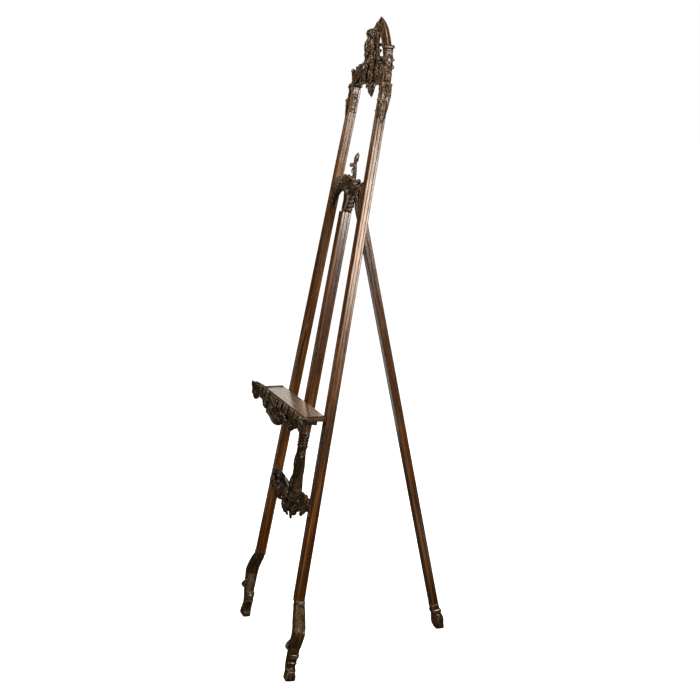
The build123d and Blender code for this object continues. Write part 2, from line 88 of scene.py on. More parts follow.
# ---------- carving kit: closed shells that are fused into one carved piece ----------
def smooth_path(points, count):
    """A Catmull-Rom curve through the points, evenly sampled by parameter."""
    points = np.array(points, float)
    padded = np.vstack([2 * points[0] - points[1], points, 2 * points[-1] - points[-2]])
    at = np.linspace(0, len(points) - 1 - 1e-9, count)
    i = at.astype(int)
    t = (at - i)[:, None]
    a, b, c, d = padded[i], padded[i + 1], padded[i + 2], padded[i + 3]
    return 0.5 * (2 * b + (c - a) * t + (2 * a - 5 * b + 4 * c - d) * t ** 2
                  + (3 * b - a - 3 * c + d) * t ** 3)


def spread(values, count):
    """A list of sizes along a path, eased over its samples."""
    values = np.atleast_1d(np.array(values, float))
    if len(values) == 1:
        return np.full(count, values[0])
    return np.interp(np.linspace(0, len(values) - 1, count), np.arange(len(values)), values)


def path_axes(path, up):
    """The side and the normal at each sample of a path."""
    tangent = np.gradient(path, axis=0)
    tangent /= np.linalg.norm(tangent, axis=1, keepdims=True)
    side = np.cross(tangent, np.array(up, float))
    side /= np.maximum(np.linalg.norm(side, axis=1, keepdims=True), 1e-6)
    return side, np.cross(side, tangent)


class Carving:
    """Collects shells in millimetres and fuses them into one mesh."""

    def __init__(self, name, to_object=frame_to_object, voxel=1.5, seed=1):
        self.name = name
        self.to_object = to_object
        self.voxel = voxel
        self.random = np.random.default_rng(seed)
        self.points = []
        self.faces = []
        self.count = 0

    def add(self, points, faces):
        """Takes in one closed shell."""
        self.points.append(np.asarray(points, float))
        self.faces.extend([tuple(i + self.count for i in face) for face in faces])
        self.count += len(points)

    def sweep(self, path, side, normal, sections):
        """A closed skin over sections[n, m, 2], offsets along side and normal."""
        n, m = sections.shape[:2]
        ring = (path[:, None, :] + side[:, None, :] * sections[..., :1]
                + normal[:, None, :] * sections[..., 1:])
        points = np.vstack([ring.reshape(-1, 3), path[:1], path[-1:]])
        faces = []
        for i in range(n - 1):
            for j in range(m):
                k = (j + 1) % m
                faces.append((i * m + j, i * m + k, (i + 1) * m + k, (i + 1) * m + j))
        for j in range(m):
            k = (j + 1) % m
            faces.append((n * m, k, j))
            faces.append((n * m + 1, (n - 1) * m + j, (n - 1) * m + k))
        self.add(points, faces)

    def tube(self, points, wide, deep=None, up=FRONT, ridges=0, ridge=0.0, n=36, m=16, square=1.0):
        """A swept stem. square above 1 flattens its faces. ridges run along it."""
        path = smooth_path(points, n)
        side, normal = path_axes(path, up)
        wide = spread(wide, n)
        deep = spread(wide if deep is None else deep, n)
        turn = np.linspace(0, 2 * math.pi, m, endpoint=False)
        grow = 1 + ridge * np.cos(ridges * turn)
        cos, sin = np.cos(turn), np.sin(turn)
        flat_cos = np.sign(cos) * np.abs(cos) ** (1 / square) * grow
        flat_sin = np.sign(sin) * np.abs(sin) ** (1 / square) * grow
        sections = np.stack([wide[:, None] * flat_cos, deep[:, None] * flat_sin], -1)
        self.sweep(path, side, normal, sections)

    def leaf(self, points, wide, thick, lobes=4, up=FRONT, n=54, across=15, notch=0.42, vein=0.35):
        """An acanthus leaf: lobed edges, a sunk centre vein and side veins to each lobe."""
        path = smooth_path(points, n)
        side, normal = path_axes(path, up)
        t = np.linspace(0, 1, n)
        lobe = np.abs(np.sin(math.pi * (lobes * t + 0.18))) ** 0.55
        half = spread(wide, n) * (1 - notch * (1 - lobe))
        high = spread(thick, n)
        u = np.linspace(-1, 1, across)
        dome = np.sqrt(np.clip(1 - u ** 2, 0, 1))
        sunk = 1 - 0.45 * np.exp(-(u / 0.13) ** 2)
        wave = np.sin(2 * math.pi * (lobes * t[:, None] - 0.9 * np.abs(u)[None, :]))
        top = high[:, None] * (dome * sunk)[None, :]
        top = top + vein * high[:, None] * wave * (np.abs(u) * dome)[None, :]
        low = -0.35 * high[:, None] * dome[None, :]
        across_top = half[:, None] * u[None, :]
        upper = np.stack([across_top, top], -1)
        lower = np.stack([across_top, low], -1)[:, ::-1][:, 1:-1]
        self.sweep(path, side, normal, np.concatenate([upper, lower], 1))

    def ball(self, centre, radius, n=10, m=16):
        """A ball, or an ellipsoid where radius has three values."""
        radius = np.broadcast_to(np.array(radius, float), 3)
        polar = np.linspace(0, math.pi, n)[1:-1]
        turn = np.linspace(0, 2 * math.pi, m, endpoint=False)
        ring = np.stack([
            np.sin(polar)[:, None] * np.cos(turn), np.sin(polar)[:, None] * np.sin(turn),
            np.repeat(np.cos(polar)[:, None], m, 1)], -1).reshape(-1, 3)
        points = np.vstack([ring, [[0, 0, 1]], [[0, 0, -1]]]) * radius + np.array(centre, float)
        rows = n - 2
        faces = []
        for i in range(rows - 1):
            for j in range(m):
                k = (j + 1) % m
                faces.append((i * m + j, (i + 1) * m + j, (i + 1) * m + k, i * m + k))
        for j in range(m):
            k = (j + 1) % m
            faces.append((rows * m, j, k))
            faces.append((rows * m + 1, (rows - 1) * m + k, (rows - 1) * m + j))
        self.add(points, faces)

    def scroll(self, centre, radius, turns, start, wide, deep, along=(1, 0, 0), rise=(0, 0, 1),
               flip=1, eye=None, ridge=0.12):
        """A volute that winds in to a ball at its eye. along and rise span its plane."""
        centre = np.array(centre, float)
        along, rise = np.array(along, float), np.array(rise, float)
        t = np.linspace(0, 1, 9 + int(14 * turns))
        angle = math.radians(start) + flip * 2 * math.pi * turns * t
        reach = radius * (1 - 0.8 * t ** 0.85)
        path = (centre + along * (reach * np.cos(angle))[:, None]
                + rise * (reach * np.sin(angle))[:, None])
        face = np.cross(along, rise)
        self.tube(path, [wide, wide * 0.85, wide * 0.5], [deep, deep, deep * 0.8], up=face,
                  ridges=4, ridge=ridge, n=len(t) * 2, m=16)
        self.ball(centre, radius * 0.34 if eye is None else eye)

    def bud(self, centre, radius, petals=5, face=(0, -1, 0)):
        """A flower: petals round a raised middle."""
        centre = np.array(centre, float)
        face = np.array(face, float)
        a = np.cross(face, [0.3, 0.2, 1.0])
        a /= np.linalg.norm(a)
        b = np.cross(face, a)
        for i in range(petals):
            turn = 2 * math.pi * i / petals
            out = a * math.cos(turn) + b * math.sin(turn)
            root = centre + out * radius * 0.15
            tip = centre + out * radius + face * radius * 0.2
            middle = (root + tip) / 2 + face * radius * 0.35
            self.leaf([root, middle, tip], [radius * 0.3, radius * 0.55, radius * 0.25],
                      [radius * 0.3, radius * 0.4, radius * 0.2], lobes=1, up=face, n=14, across=9,
                      notch=0.0)
        self.ball(centre + face * radius * 0.35, radius * 0.32)

    def stack(self, levels, rounding=0.25, m=24):
        """A moulded block: (height, x, q, half width, half depth) from bottom to top."""
        turn = np.linspace(0, 2 * math.pi, m, endpoint=False) + math.pi / m
        cos = np.sign(np.cos(turn)) * np.abs(np.cos(turn)) ** rounding
        sin = np.sign(np.sin(turn)) * np.abs(np.sin(turn)) ** rounding
        limit = np.maximum(np.abs(cos), np.abs(sin))
        cos, sin = cos / limit ** 0.5, sin / limit ** 0.5
        path = np.array([(x, q, s) for s, x, q, _, _ in levels], float)
        side = np.tile([1.0, 0, 0], (len(levels), 1))
        normal = np.tile([0.0, 1, 0], (len(levels), 1))
        sections = np.array([np.stack([w * cos, d * sin], -1) for _, _, _, w, d in levels])
        self.sweep(path, side, normal, sections)

    def flipped(self, name):
        """The same piece for the other side of the object."""
        other = Carving(name, self.to_object, self.voxel)
        other.add(np.vstack(self.points) * OTHER_SIDE, [face[::-1] for face in self.faces])
        return other

    def build(self, body, node_name, material, smooth=3):
        """Fuses the shells into one skin and puts it on its body."""
        mesh = bpy.data.meshes.new(self.name)
        mesh.from_pydata((self.to_object(np.vstack(self.points)) * MM).tolist(), [], self.faces)
        raw = bpy.data.objects.new(self.name + "_raw", mesh)
        bpy.context.scene.collection.objects.link(raw)
        fuse = raw.modifiers.new("fuse", "REMESH")
        fuse.mode = "VOXEL"
        fuse.voxel_size = self.voxel * MM
        soften = raw.modifiers.new("soften", "SMOOTH")
        soften.factor = 0.5
        soften.iterations = smooth
        fused = bpy.data.meshes.new_from_object(
            raw.evaluated_get(bpy.context.evaluated_depsgraph_get()))
        bpy.data.objects.remove(raw)
        fused.name = self.name
        piece = bpy.data.objects.new(self.name, fused)
        bpy.context.scene.collection.objects.link(piece)
        fused.polygons.foreach_set("use_smooth", np.ones(len(fused.polygons), bool))
        fused.materials.clear()
        fused.materials.append(material)
        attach(piece, body)
        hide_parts(node_name)


# ---------- materials ----------
COLOUR_OUT, COLOUR_A, COLOUR_B = 2, 6, 7  # sockets of a Mix node that is set to colours


def set_inputs(node, **values):
    """Sets the node's sockets. Their names are written with _ for a space."""
    for name, value in values.items():
        node.inputs[name.replace("_", " ")].default_value = value


def node_kit(material):
    """Two short functions that add a node to the material and link two of its nodes."""
    tree = material.node_tree

    def add(kind, **values):
        node = tree.nodes.new("ShaderNode" + kind)
        for name, value in values.items():
            if hasattr(node, name):
                setattr(node, name, value)
            else:
                set_inputs(node, **{name: value})
        return node

    def link(a, b, out=0, into=0):
        tree.links.new(a.outputs[out], b.inputs[into])

    return add, link


def colour_ramp(node, stops):
    """Sets the ramp's stops, each a position and a colour."""
    ramp = node.color_ramp
    while len(ramp.elements) > 1:
        ramp.elements.remove(ramp.elements[-1])
    for i, (at, colour) in enumerate(stops):
        element = ramp.elements[0] if i == 0 else ramp.elements.new(at)
        element.position = at
        element.color = (*colour, 1)


def walnut(name, turn, colours, rough=(0.2, 0.34), coat=0.3, wear_and_highlight=None, painted_shade=None, bump=0.25,
           grain=(55, 55, 2.4), patch=5.0, uneven=((0.78, 0.72, 0.7), (1.22, 1.02, 0.86))):
    """Polished walnut. turn is the stick's own rotation, so that the grain runs along it.
    The edge colour paints raised edges paler, partly real wear and partly a painted highlight; the hollow
    colour is painted shade, laid into the hollows by ambient occlusion."""
    material = bpy.data.materials.new(name)
    material.use_nodes = True
    add, link = node_kit(material)
    shader = material.node_tree.nodes["Principled BSDF"]
    place = add("TexCoord")
    turned = add("Mapping", vector_type="TEXTURE", Rotation=turn)
    link(place, turned, "Object", "Vector")
    stretched = add("Mapping", Scale=grain)
    link(turned, stretched, 0, "Vector")
    figure = add("TexNoise", Scale=1.0, Detail=7.0, Roughness=0.62, Distortion=0.5)
    link(stretched, figure, 0, "Vector")
    tone = add("ValToRGB")
    colour_ramp(tone, colours)
    link(figure, tone, "Fac", "Fac")
    fine = add("Mapping", Scale=(grain[0] * 14, grain[1] * 14, grain[2] * 9))
    link(turned, fine, 0, "Vector")
    pores = add("TexNoise", Scale=1.0, Detail=3.0, Roughness=0.5)
    link(fine, pores, 0, "Vector")
    pore_mask = add("MapRange", From_Min=0.36, From_Max=0.5)
    link(pores, pore_mask, "Fac", "Value")
    dark = add("Mix", data_type="RGBA", blend_type="MULTIPLY", Factor=0.55)
    link(tone, dark, "Color", COLOUR_A)
    grey = add("MapRange", To_Min=0.35)
    link(pore_mask, grey, 0, "Value")
    link(grey, dark, 0, COLOUR_B)
    patches = add("TexNoise", Scale=patch, Detail=3.0)
    link(turned, patches, 0, "Vector")
    warm = add("ValToRGB")
    colour_ramp(warm, [(0.35, uneven[0]), (0.65, uneven[1])])
    link(patches, warm, "Fac", "Fac")
    mixed = add("Mix", data_type="RGBA", blend_type="MULTIPLY", Factor=1.0)
    link(dark, mixed, COLOUR_OUT, COLOUR_A)
    link(warm, mixed, 0, COLOUR_B)
    last = mixed
    # Painted shade: ambient occlusion blends the hollows towards a near-black colour.
    if painted_shade:
        hollow = add("AmbientOcclusion", samples=6, Distance=0.022)
        depth = add("MapRange", From_Min=0.42, From_Max=0.95)
        link(hollow, depth, "AO", "Value")
        sunk = add("Mix", data_type="RGBA")
        sunk.inputs[COLOUR_A].default_value = (*painted_shade, 1)
        link(depth, sunk, 0, "Factor")
        link(last, sunk, COLOUR_OUT, COLOUR_B)
        last = sunk
    # Raised edges painted paler in patches: partly real wear, partly a painted highlight for the gloss on
    # the carving's edges.
    if wear_and_highlight:
        shape = add("NewGeometry")
        edge = add("MapRange", From_Min=0.505, From_Max=0.56)
        link(shape, edge, "Pointiness", "Value")
        patchy = add("Math", operation="MULTIPLY")
        link(edge, patchy, 0, 0)
        link(patches, patchy, "Fac", 1)
        wear_and_highlight_mix = add("Mix", data_type="RGBA")
        link(patchy, wear_and_highlight_mix, 0, "Factor")
        link(last, wear_and_highlight_mix, COLOUR_OUT, COLOUR_A)
        wear_and_highlight_mix.inputs[COLOUR_B].default_value = (*wear_and_highlight, 1)
        last = wear_and_highlight_mix
    link(last, shader, COLOUR_OUT, "Base Color")
    gloss = add("MapRange", To_Min=rough[0], To_Max=rough[1])
    link(figure, gloss, "Fac", "Value")
    link(gloss, shader, 0, "Roughness")
    set_inputs(shader, Coat_Weight=coat, Coat_Roughness=0.16, Specular_IOR_Level=0.5,
               Specular_Tint=(1.0, 0.88, 0.76, 1), Coat_Tint=(1.0, 0.93, 0.84, 1))
    lumps = add("Bump", Strength=bump, Distance=0.0006)
    link(pore_mask, lumps, 0, "Height")
    link(lumps, shader, 0, "Normal")
    return material


def aged_brass():
    """Dull brass with darker clouds."""
    material = bpy.data.materials.new("aged_brass")
    material.use_nodes = True
    add, link = node_kit(material)
    shader = material.node_tree.nodes["Principled BSDF"]
    place = add("TexCoord")
    cloud = add("TexNoise", Scale=140.0, Detail=5.0)
    link(place, cloud, "Object", "Vector")
    tone = add("ValToRGB")
    colour_ramp(tone, [(0.35, (0.12, 0.075, 0.03)), (0.6, (0.5, 0.34, 0.13))])
    link(cloud, tone, "Fac", "Fac")
    link(tone, shader, 0, "Base Color")
    set_inputs(shader, Metallic=1.0)
    gloss = add("MapRange", To_Min=0.28, To_Max=0.55)
    link(cloud, gloss, "Fac", "Value")
    link(gloss, shader, 0, "Roughness")
    return material


STICK_COLOURS = [(0.34, (0.014, 0.0035, 0.0004)), (0.46, (0.055, 0.018, 0.0015)),
                 (0.56, (0.105, 0.041, 0.005)), (0.7, (0.25, 0.13, 0.034))]
LEG_COLOURS = [(0.32, (0.016, 0.005, 0.001)), (0.5, (0.06, 0.022, 0.004)),
               (0.7, (0.14, 0.065, 0.02))]
SHELF_COLOURS = [(0.3, (0.05, 0.026, 0.011)), (0.5, (0.1, 0.06, 0.027)), (0.7, (0.17, 0.11, 0.055))]
CARVED_COLOURS = [(0.3, (0.010, 0.0055, 0.0025)), (0.5, (0.030, 0.0165, 0.0085)),
                  (0.7, (0.085, 0.047, 0.024))]
# Painted shade: the carved colours made darker for the carvings that sit low.
SHADED_LOW_COLOURS = [(0.3, (0.006, 0.003, 0.0008)), (0.5, (0.017, 0.0085, 0.003)),
               (0.7, (0.05, 0.026, 0.009))]
FOOT_COLOURS = [(0.3, (0.010, 0.005, 0.001)), (0.5, (0.034, 0.019, 0.005)),
                (0.7, (0.085, 0.052, 0.018))]
HIDDEN_COLOURS = [(0.3, (0.008, 0.004, 0.001)), (0.5, (0.02, 0.01, 0.003)), (0.7, (0.04, 0.02, 0.006))]
# Paler colours for raised edges, partly real wear and partly painted highlight; the dimmer one goes on
# the low carvings and the feet.
WEAR_AND_HIGHLIGHT = (0.36, 0.28, 0.2)
LOW_WEAR_AND_HIGHLIGHT = (0.2, 0.15, 0.105)
# Near-black painted shade for the hollows of the carvings.
PAINTED_SHADE_COLOUR = (0.002, 0.001, 0.0006)
right_stick = walnut("right_stile_walnut", (-LEAN, -STILE_TILT, 0), STICK_COLOURS)
left_stick = walnut("left_stile_walnut", (-LEAN, STILE_TILT, 0), STICK_COLOURS)
post_wood = walnut("post_walnut", (-LEAN, 0, 0), STICK_COLOURS, coat=0.6)
leg_wood = walnut("leg_walnut", (LEG_LEAN, 0, 0), LEG_COLOURS)
shelf_wood = walnut("shelf_walnut", (0, math.pi / 2, 0), SHELF_COLOURS, rough=(0.22, 0.34), coat=0.4)
plain_wood = walnut("plain_walnut", (0, 0, 0), HIDDEN_COLOURS)
CARVED_LOOK = dict(rough=(0.2, 0.36), painted_shade=PAINTED_SHADE_COLOUR, grain=(70, 70, 9), patch=95.0)
carved_wood = walnut("carved_walnut", (-LEAN, 0, 0), CARVED_COLOURS, coat=0.5, wear_and_highlight=WEAR_AND_HIGHLIGHT,
                     uneven=((0.38, 0.34, 0.34), (1.9, 1.65, 1.5)), **CARVED_LOOK)
foot_wood = walnut("foot_walnut", (0, 0, 0), FOOT_COLOURS, coat=0.4, wear_and_highlight=LOW_WEAR_AND_HIGHLIGHT, bump=0.4,
                   uneven=((0.3, 0.28, 0.27), (2.2, 1.95, 1.7)), **CARVED_LOOK)
# The carved walnut again in darker colours, painted shade for the lower rail, console, apron and shelf
# ears.
shaded_low_carved = walnut("shaded_low_carved_walnut", (-LEAN, 0, 0), SHADED_LOW_COLOURS, coat=0.4, wear_and_highlight=LOW_WEAR_AND_HIGHLIGHT,
                     uneven=((0.38, 0.34, 0.32), (1.9, 1.65, 1.4)), **CARVED_LOOK)
brass = aged_brass()
NODE_WOOD = {
    "right_stile": right_stick, "left_stile": left_stick, "centre_post": post_wood,
    "rear_leg_post": leg_wood, "shelf_board": shelf_wood,
}
SLOT_OF = {part["node"]: part["material_slot"] for part in frame["record"]["subparts"]}
for node_name, node in nodes.items():
    wood = carved_wood if SLOT_OF[node_name] == "carved_walnut" else plain_wood
    material = brass if SLOT_OF[node_name] == "brass" else NODE_WOOD.get(node_name, wood)
    node.data.materials.clear()
    node.data.materials.append(material)


# ---------- the shelf board, whose ends are cut back underneath ----------
END_X = 0.282  # past this the board counts as its end
END_IN, END_UP = 0.012, 0.006  # how far its lower edge moves
TOP_EDGE = 0.002  # what stays of the top edge
board_mesh = nodes["shelf_board"].data.copy()
board = bpy.data.objects.new("shelf_board_moulded", board_mesh)
bpy.context.scene.collection.objects.link(board)
board.matrix_world = nodes["shelf_board"].matrix_world.copy()
board_top = max(vertex.co.z for vertex in board_mesh.vertices)
for vertex in board_mesh.vertices:
    if abs(vertex.co.x) > END_X and vertex.co.z < board_top - TOP_EDGE:
        vertex.co.x -= math.copysign(END_IN, vertex.co.x)
        vertex.co.z += END_UP
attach(board, "shelf")
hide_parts("shelf_board")


# ---------- carved pieces ----------
def sided(side_x, *points):
    """The points with x measured towards one side, 1 for the right and -1 for the left."""
    return [(x * side_x, y, z) for x, y, z in points]


def leaning(x, q, s):
    """A point given in the leaning frame, in crest coordinates."""
    dq, ds = q - CREST_Q, s - CREST_S
    return (x, CREST_Q + dq * math.cos(LEAN) + ds * math.sin(LEAN),
            CREST_S - dq * math.sin(LEAN) + ds * math.cos(LEAN))


FLOOR_GAP = 0.4  # millimetres


def above_floor(carving):
    """Flattens what would pass under the floor."""
    placed = carving.to_object

    def clamped(points):
        out = placed(points)
        out[..., 2] = np.maximum(out[..., 2], FLOOR_GAP)
        return out

    carving.to_object = clamped
    return carving


def front_foot():
    """A cabriole foot: leafy collar, knee that swings outward, ankle ring and scroll toe."""
    foot = Carving("right_foot_carving", voxel=1.4)
    foot.stack([(-1, 321, 0, 17, 12), (3, 321, 0, 20, 14.5), (14, 322, 0, 20.5, 15),
                (26, 325, 0, 20.5, 15), (34, 325, 0, 19, 14), (42, 320, 0, 17, 12.5)], 0.5)
    foot.tube([(319, 0, 30), (317, -1, 50), (318, -1, 68), (324, -2, 90), (331, -3, 120),
               (339, -2, 150), (341, -2, 166), (334, -1, 182), (319, -1, 203), (303, 0, 224),
               (289, 1, 240), (277, 1, 258)],
              [19, 18, 18, 19, 20, 21, 21, 21, 20, 19, 19, 19],
              [15, 16.5, 17.5, 18, 19, 20, 21, 21, 20.5, 19.5, 18, 16], n=70, m=24, square=1.6)
    foot.tube([(270, 0, 258), (278, 0, 238), (292, 0, 216), (308, 0, 196)], [8, 10, 9, 3],
              [14, 16, 15, 8], n=30, m=20, square=1.4)
    for height, x, wide, deep in ((82, 323, 21, 18.5), (90, 325, 22, 19), (61, 318, 20, 17.5)):
        foot.stack([(height - 3, x, 0, wide - 2, deep - 2), (height, x, 0, wide, deep),
                    (height + 3, x, 0, wide - 2, deep - 2)], 0.6)
    for side_q in (-1, 1):
        foot.leaf([(300, 15 * side_q, 234), (322, 17 * side_q, 200), (338, 18 * side_q, 166),
                   (334, 17 * side_q, 136), (326, 16 * side_q, 110)], [8, 13, 14, 11, 5],
                  [2, 3, 3.5, 3, 2], up=(0, side_q, 0))
        foot.scroll((322, 13 * side_q, 30), 12, 1.1, 100, 4.2, 4, flip=-1)
    for side_q in (-1, 1):
        foot.tube([(299, 11 * side_q, 248), (331, 13 * side_q, 212), (357, 13 * side_q, 174),
                   (356, 13 * side_q, 148), (347, 12 * side_q, 118)], [2, 2.6, 3, 2.6, 2], n=40,
                  m=10)
    foot.tube([(302, 0, 240), (332, 0, 211), (359, 0, 174), (357, 0, 146), (349, 0, 120)],
              [3, 5, 6, 5, 3], [2, 3, 3, 3, 2], n=40, m=12)
    for turn in (-10, 0, 10):
        foot.tube([(336, turn, 34), (341, turn * 1.2, 24), (341, turn * 1.3, 12), (337, turn * 1.3, 2.5)],
                  [3, 4.4, 5, 4], n=20, m=10)
    foot.leaf([(334, 0, 132), (344, 0, 122), (347, 0, 110), (342, 0, 98)], [8, 13, 12, 5],
              [3, 5, 5, 3], lobes=3, up=(1, 0, 0))
    foot.tube([(322, -16, 136), (326, -25, 126), (330, -29, 116), (330, -22, 104)], [5, 6, 6, 3],
              up=(1, 0, 0))
    foot.scroll((328, -24, 114), 9, 1.0, 60, 3.2, 9, along=(0, -1, 0))
    foot.scroll((326, -12, 30), 10, 1.0, 60, 4, 14, along=(0, -1, 0))
    foot.stack([(250, 281, 0.6, 20, 15), (253, 280, 0.6, 22.5, 17.5), (259, 279, 0.6, 22.5, 17.5),
                (262, 278.5, 0.6, 20.5, 16)], 0.5)
    foot.stack([(232, 295, 0.6, 19, 15), (236, 292, 0.6, 21.5, 17.5), (240, 289, 0.6, 21.5, 17.5),
                (244, 286, 0.6, 19.5, 15)], 0.5)
    return above_floor(foot)


def crest_post():
    """The stile's head: a carved neck that steps inward, an upright block, a ring and a cap."""
    post = Carving("right_crest_post_carving", crest_to_object, voxel=1.3)
    post.stack([(2016, 101, 18, 17, 15), (2019, 101, 18, 19, 17), (2026, 101, 18, 19, 17),
                (2029, 101, 18, 16, 14), (2033, 101, 18, 15, 13), (2070, 101, 18, 15, 13),
                (2073, 101, 18, 16.5, 14.5), (2076, 101, 18, 15.5, 13.5), (2080, 101, 18, 15.5, 14),
                (2083, 101, 19.5, 18.5, 16), (2086, 101, 20, 20, 17.5), (2090, 101, 20, 20, 17.5),
                (2093.5, 101, 20, 17, 15)], 0.4)
    neck = [leaning(163, 0, 1944), leaning(162, 0, 1962), leaning(152, 1, 1982),
            leaning(130, 6, 1999), leaning(108, 12, 2013), (101, 17, 2024)]
    post.tube(neck, [19, 19, 18, 16, 14, 14], [14.5, 14.5, 13, 12, 12, 12.5], n=40, m=24,
              square=1.8)
    for side_q in (-1, 1):
        for out in (14, -14):
            rim = [leaning(x + out, q + 12 * side_q, s + 0.6 * out)
                   for x, q, s in ((163, 0, 1950), (155, 1, 1978), (132, 5, 1998), (108, 11, 2011))]
            post.tube(rim, [2.6, 3, 3, 2.4], up=(0, 1, 0))
        post.leaf([(101, 18 + 13 * side_q, 2034), (101, 18 + 15 * side_q, 2050),
                   (101, 18 + 13 * side_q, 2068)], [4, 9, 3], [2, 3, 2], lobes=2,
                  up=(0, side_q, 0))
    post.leaf([(115, 18, 2034), (116, 18, 2050), (115, 18, 2068)], [4, 8, 3], [1.2, 1.8, 1.2],
              lobes=2, up=(1, 0, 0))
    for side_q in (-1, 1):
        post.tube([leaning(140, 16 * side_q, 1962), leaning(164, 17 * side_q, 1963),
                   leaning(188, 15 * side_q, 1963)], [3.6, 4.2, 3.6], up=(0, 0, 1), n=16)
    post.tube([leaning(187, -16, 1963), leaning(189, 0, 1963), leaning(187, 16, 1963)],
              [3.6, 4.2, 3.6], up=(0, 0, 1), n=16)
    return post


def shoulder_leaf():
    """Leaves up the stile's outer face, a scroll at its top and a leaf that stands above it."""
    leaf = Carving("right_shoulder_carving", voxel=1.4)
    leaf.leaf([(187, 2, 1836), (188, 1, 1862), (187, 0, 1895), (184, 1, 1925), (183, 2, 1950)],
              [6, 12, 15, 15, 10], [3, 5, 6, 7, 5], lobes=5, up=(1, 0, 0))
    leaf.leaf([(186, 13, 1890), (185, 16, 1912), (184, 17, 1935), (181, 15, 1956)],
              [4, 8, 10, 6], [2, 4, 4, 3], lobes=3, up=(0.4, 1, 0))
    leaf.leaf([(178, -11, 1846), (181, -12, 1874), (185, -13, 1900), (188, -16, 1909)],
              [4, 8, 9, 3], [2, 4, 5, 3], lobes=3, up=(0.6, -1, 0))
    leaf.leaf([(178, -11, 1906), (180, -11, 1930), (185, -11, 1948), (188, -12, 1954)],
              [4, 9, 9, 3], [2, 4, 5, 3], lobes=3, up=(0.6, -1, 0))
    leaf.tube([(183, 8, 1846), (184, 10, 1885), (184, 11, 1925), (182, 10, 1960)], [5, 6, 7, 7],
              [5, 8, 9, 8], up=(0, 1, 0), square=1.4)
    leaf.tube([(182, -7, 1850), (183, -8, 1890), (184, -9, 1925), (182, -8, 1960)], [5, 6, 7, 7],
              [4, 5, 6, 6], up=(0, 1, 0), square=1.4)
    for side_q in (-1, 1):
        leaf.scroll((182, 2 + 9 * side_q, 1949), 10, 1.3, 90, 4, 5, along=(0, side_q, 0))
    leaf.tube([(181, 1, 1962), (176, 1, 1985), (167, 3, 2010), (157, 8, 2034), (152, 12, 2046)],
              [10, 10, 8, 5, 3], [11, 9, 8, 6, 3], n=40, m=22, ridges=5, ridge=0.08)
    leaf.leaf([(184, 0, 1966), (187, -1, 1984), (186, -7, 2000), (182, -15, 2011)],
              [8, 12, 11, 5], [5, 7, 6, 4], lobes=3, up=(1, -0.4, 0))
    leaf.leaf([(182, 1, 1972), (179, 1, 1995), (171, 3, 2016), (162, 9, 2038)], [8, 12, 10, 4],
              [4, 6, 5, 3], up=(1, -0.2, 0.3))
    leaf.leaf([(168, 0, 1972), (164, -1, 1995), (158, 3, 2018), (151, 10, 2042)], [7, 11, 9, 4],
              [4, 6, 5, 3], up=(-1, -0.3, 0))
    leaf.leaf([(172, -6, 1985), (168, -5, 2005), (164, -3, 2020), (160, 1, 2034)],
              [7, 11, 9, 4], [4, 6, 5, 3], lobes=3, up=(0.2, -1, 0))
    for centre, radius in (((181, -13, 2011), (7, 8, 8)), ((179, -6, 1999), (8, 7, 7)),
                           ((172, -2, 2023), (7, 7, 7)), ((166, 3, 2033), (6, 6, 6)),
                           ((186, -5, 1977), (5, 6, 6)), ((187, -12, 1956), (5, 8, 8)),
                           ((187, -13, 1908), (5, 8, 8)), ((158, 14, 2044), (5, 5, 5))):
        leaf.ball(centre, radius)
    leaf.leaf([(146, 0, 1876), (145, 0, 1900), (146, 0, 1930), (148, 1, 1956)], [9, 13, 13, 10],
              [2, 3, 3, 2], lobes=5, up=(-1, 0, 0))
    leaf.tube([(148, -13, 1876), (145, -5, 1871), (145, 4, 1870), (148, 13, 1873)], [2.6, 3, 3, 2.6],
              up=(-1, 0, 0), n=20, m=12)
    leaf.scroll((183, -2, 1992), 10, 1.2, 200, 4, 5, along=(0, 1, 0))
    return leaf


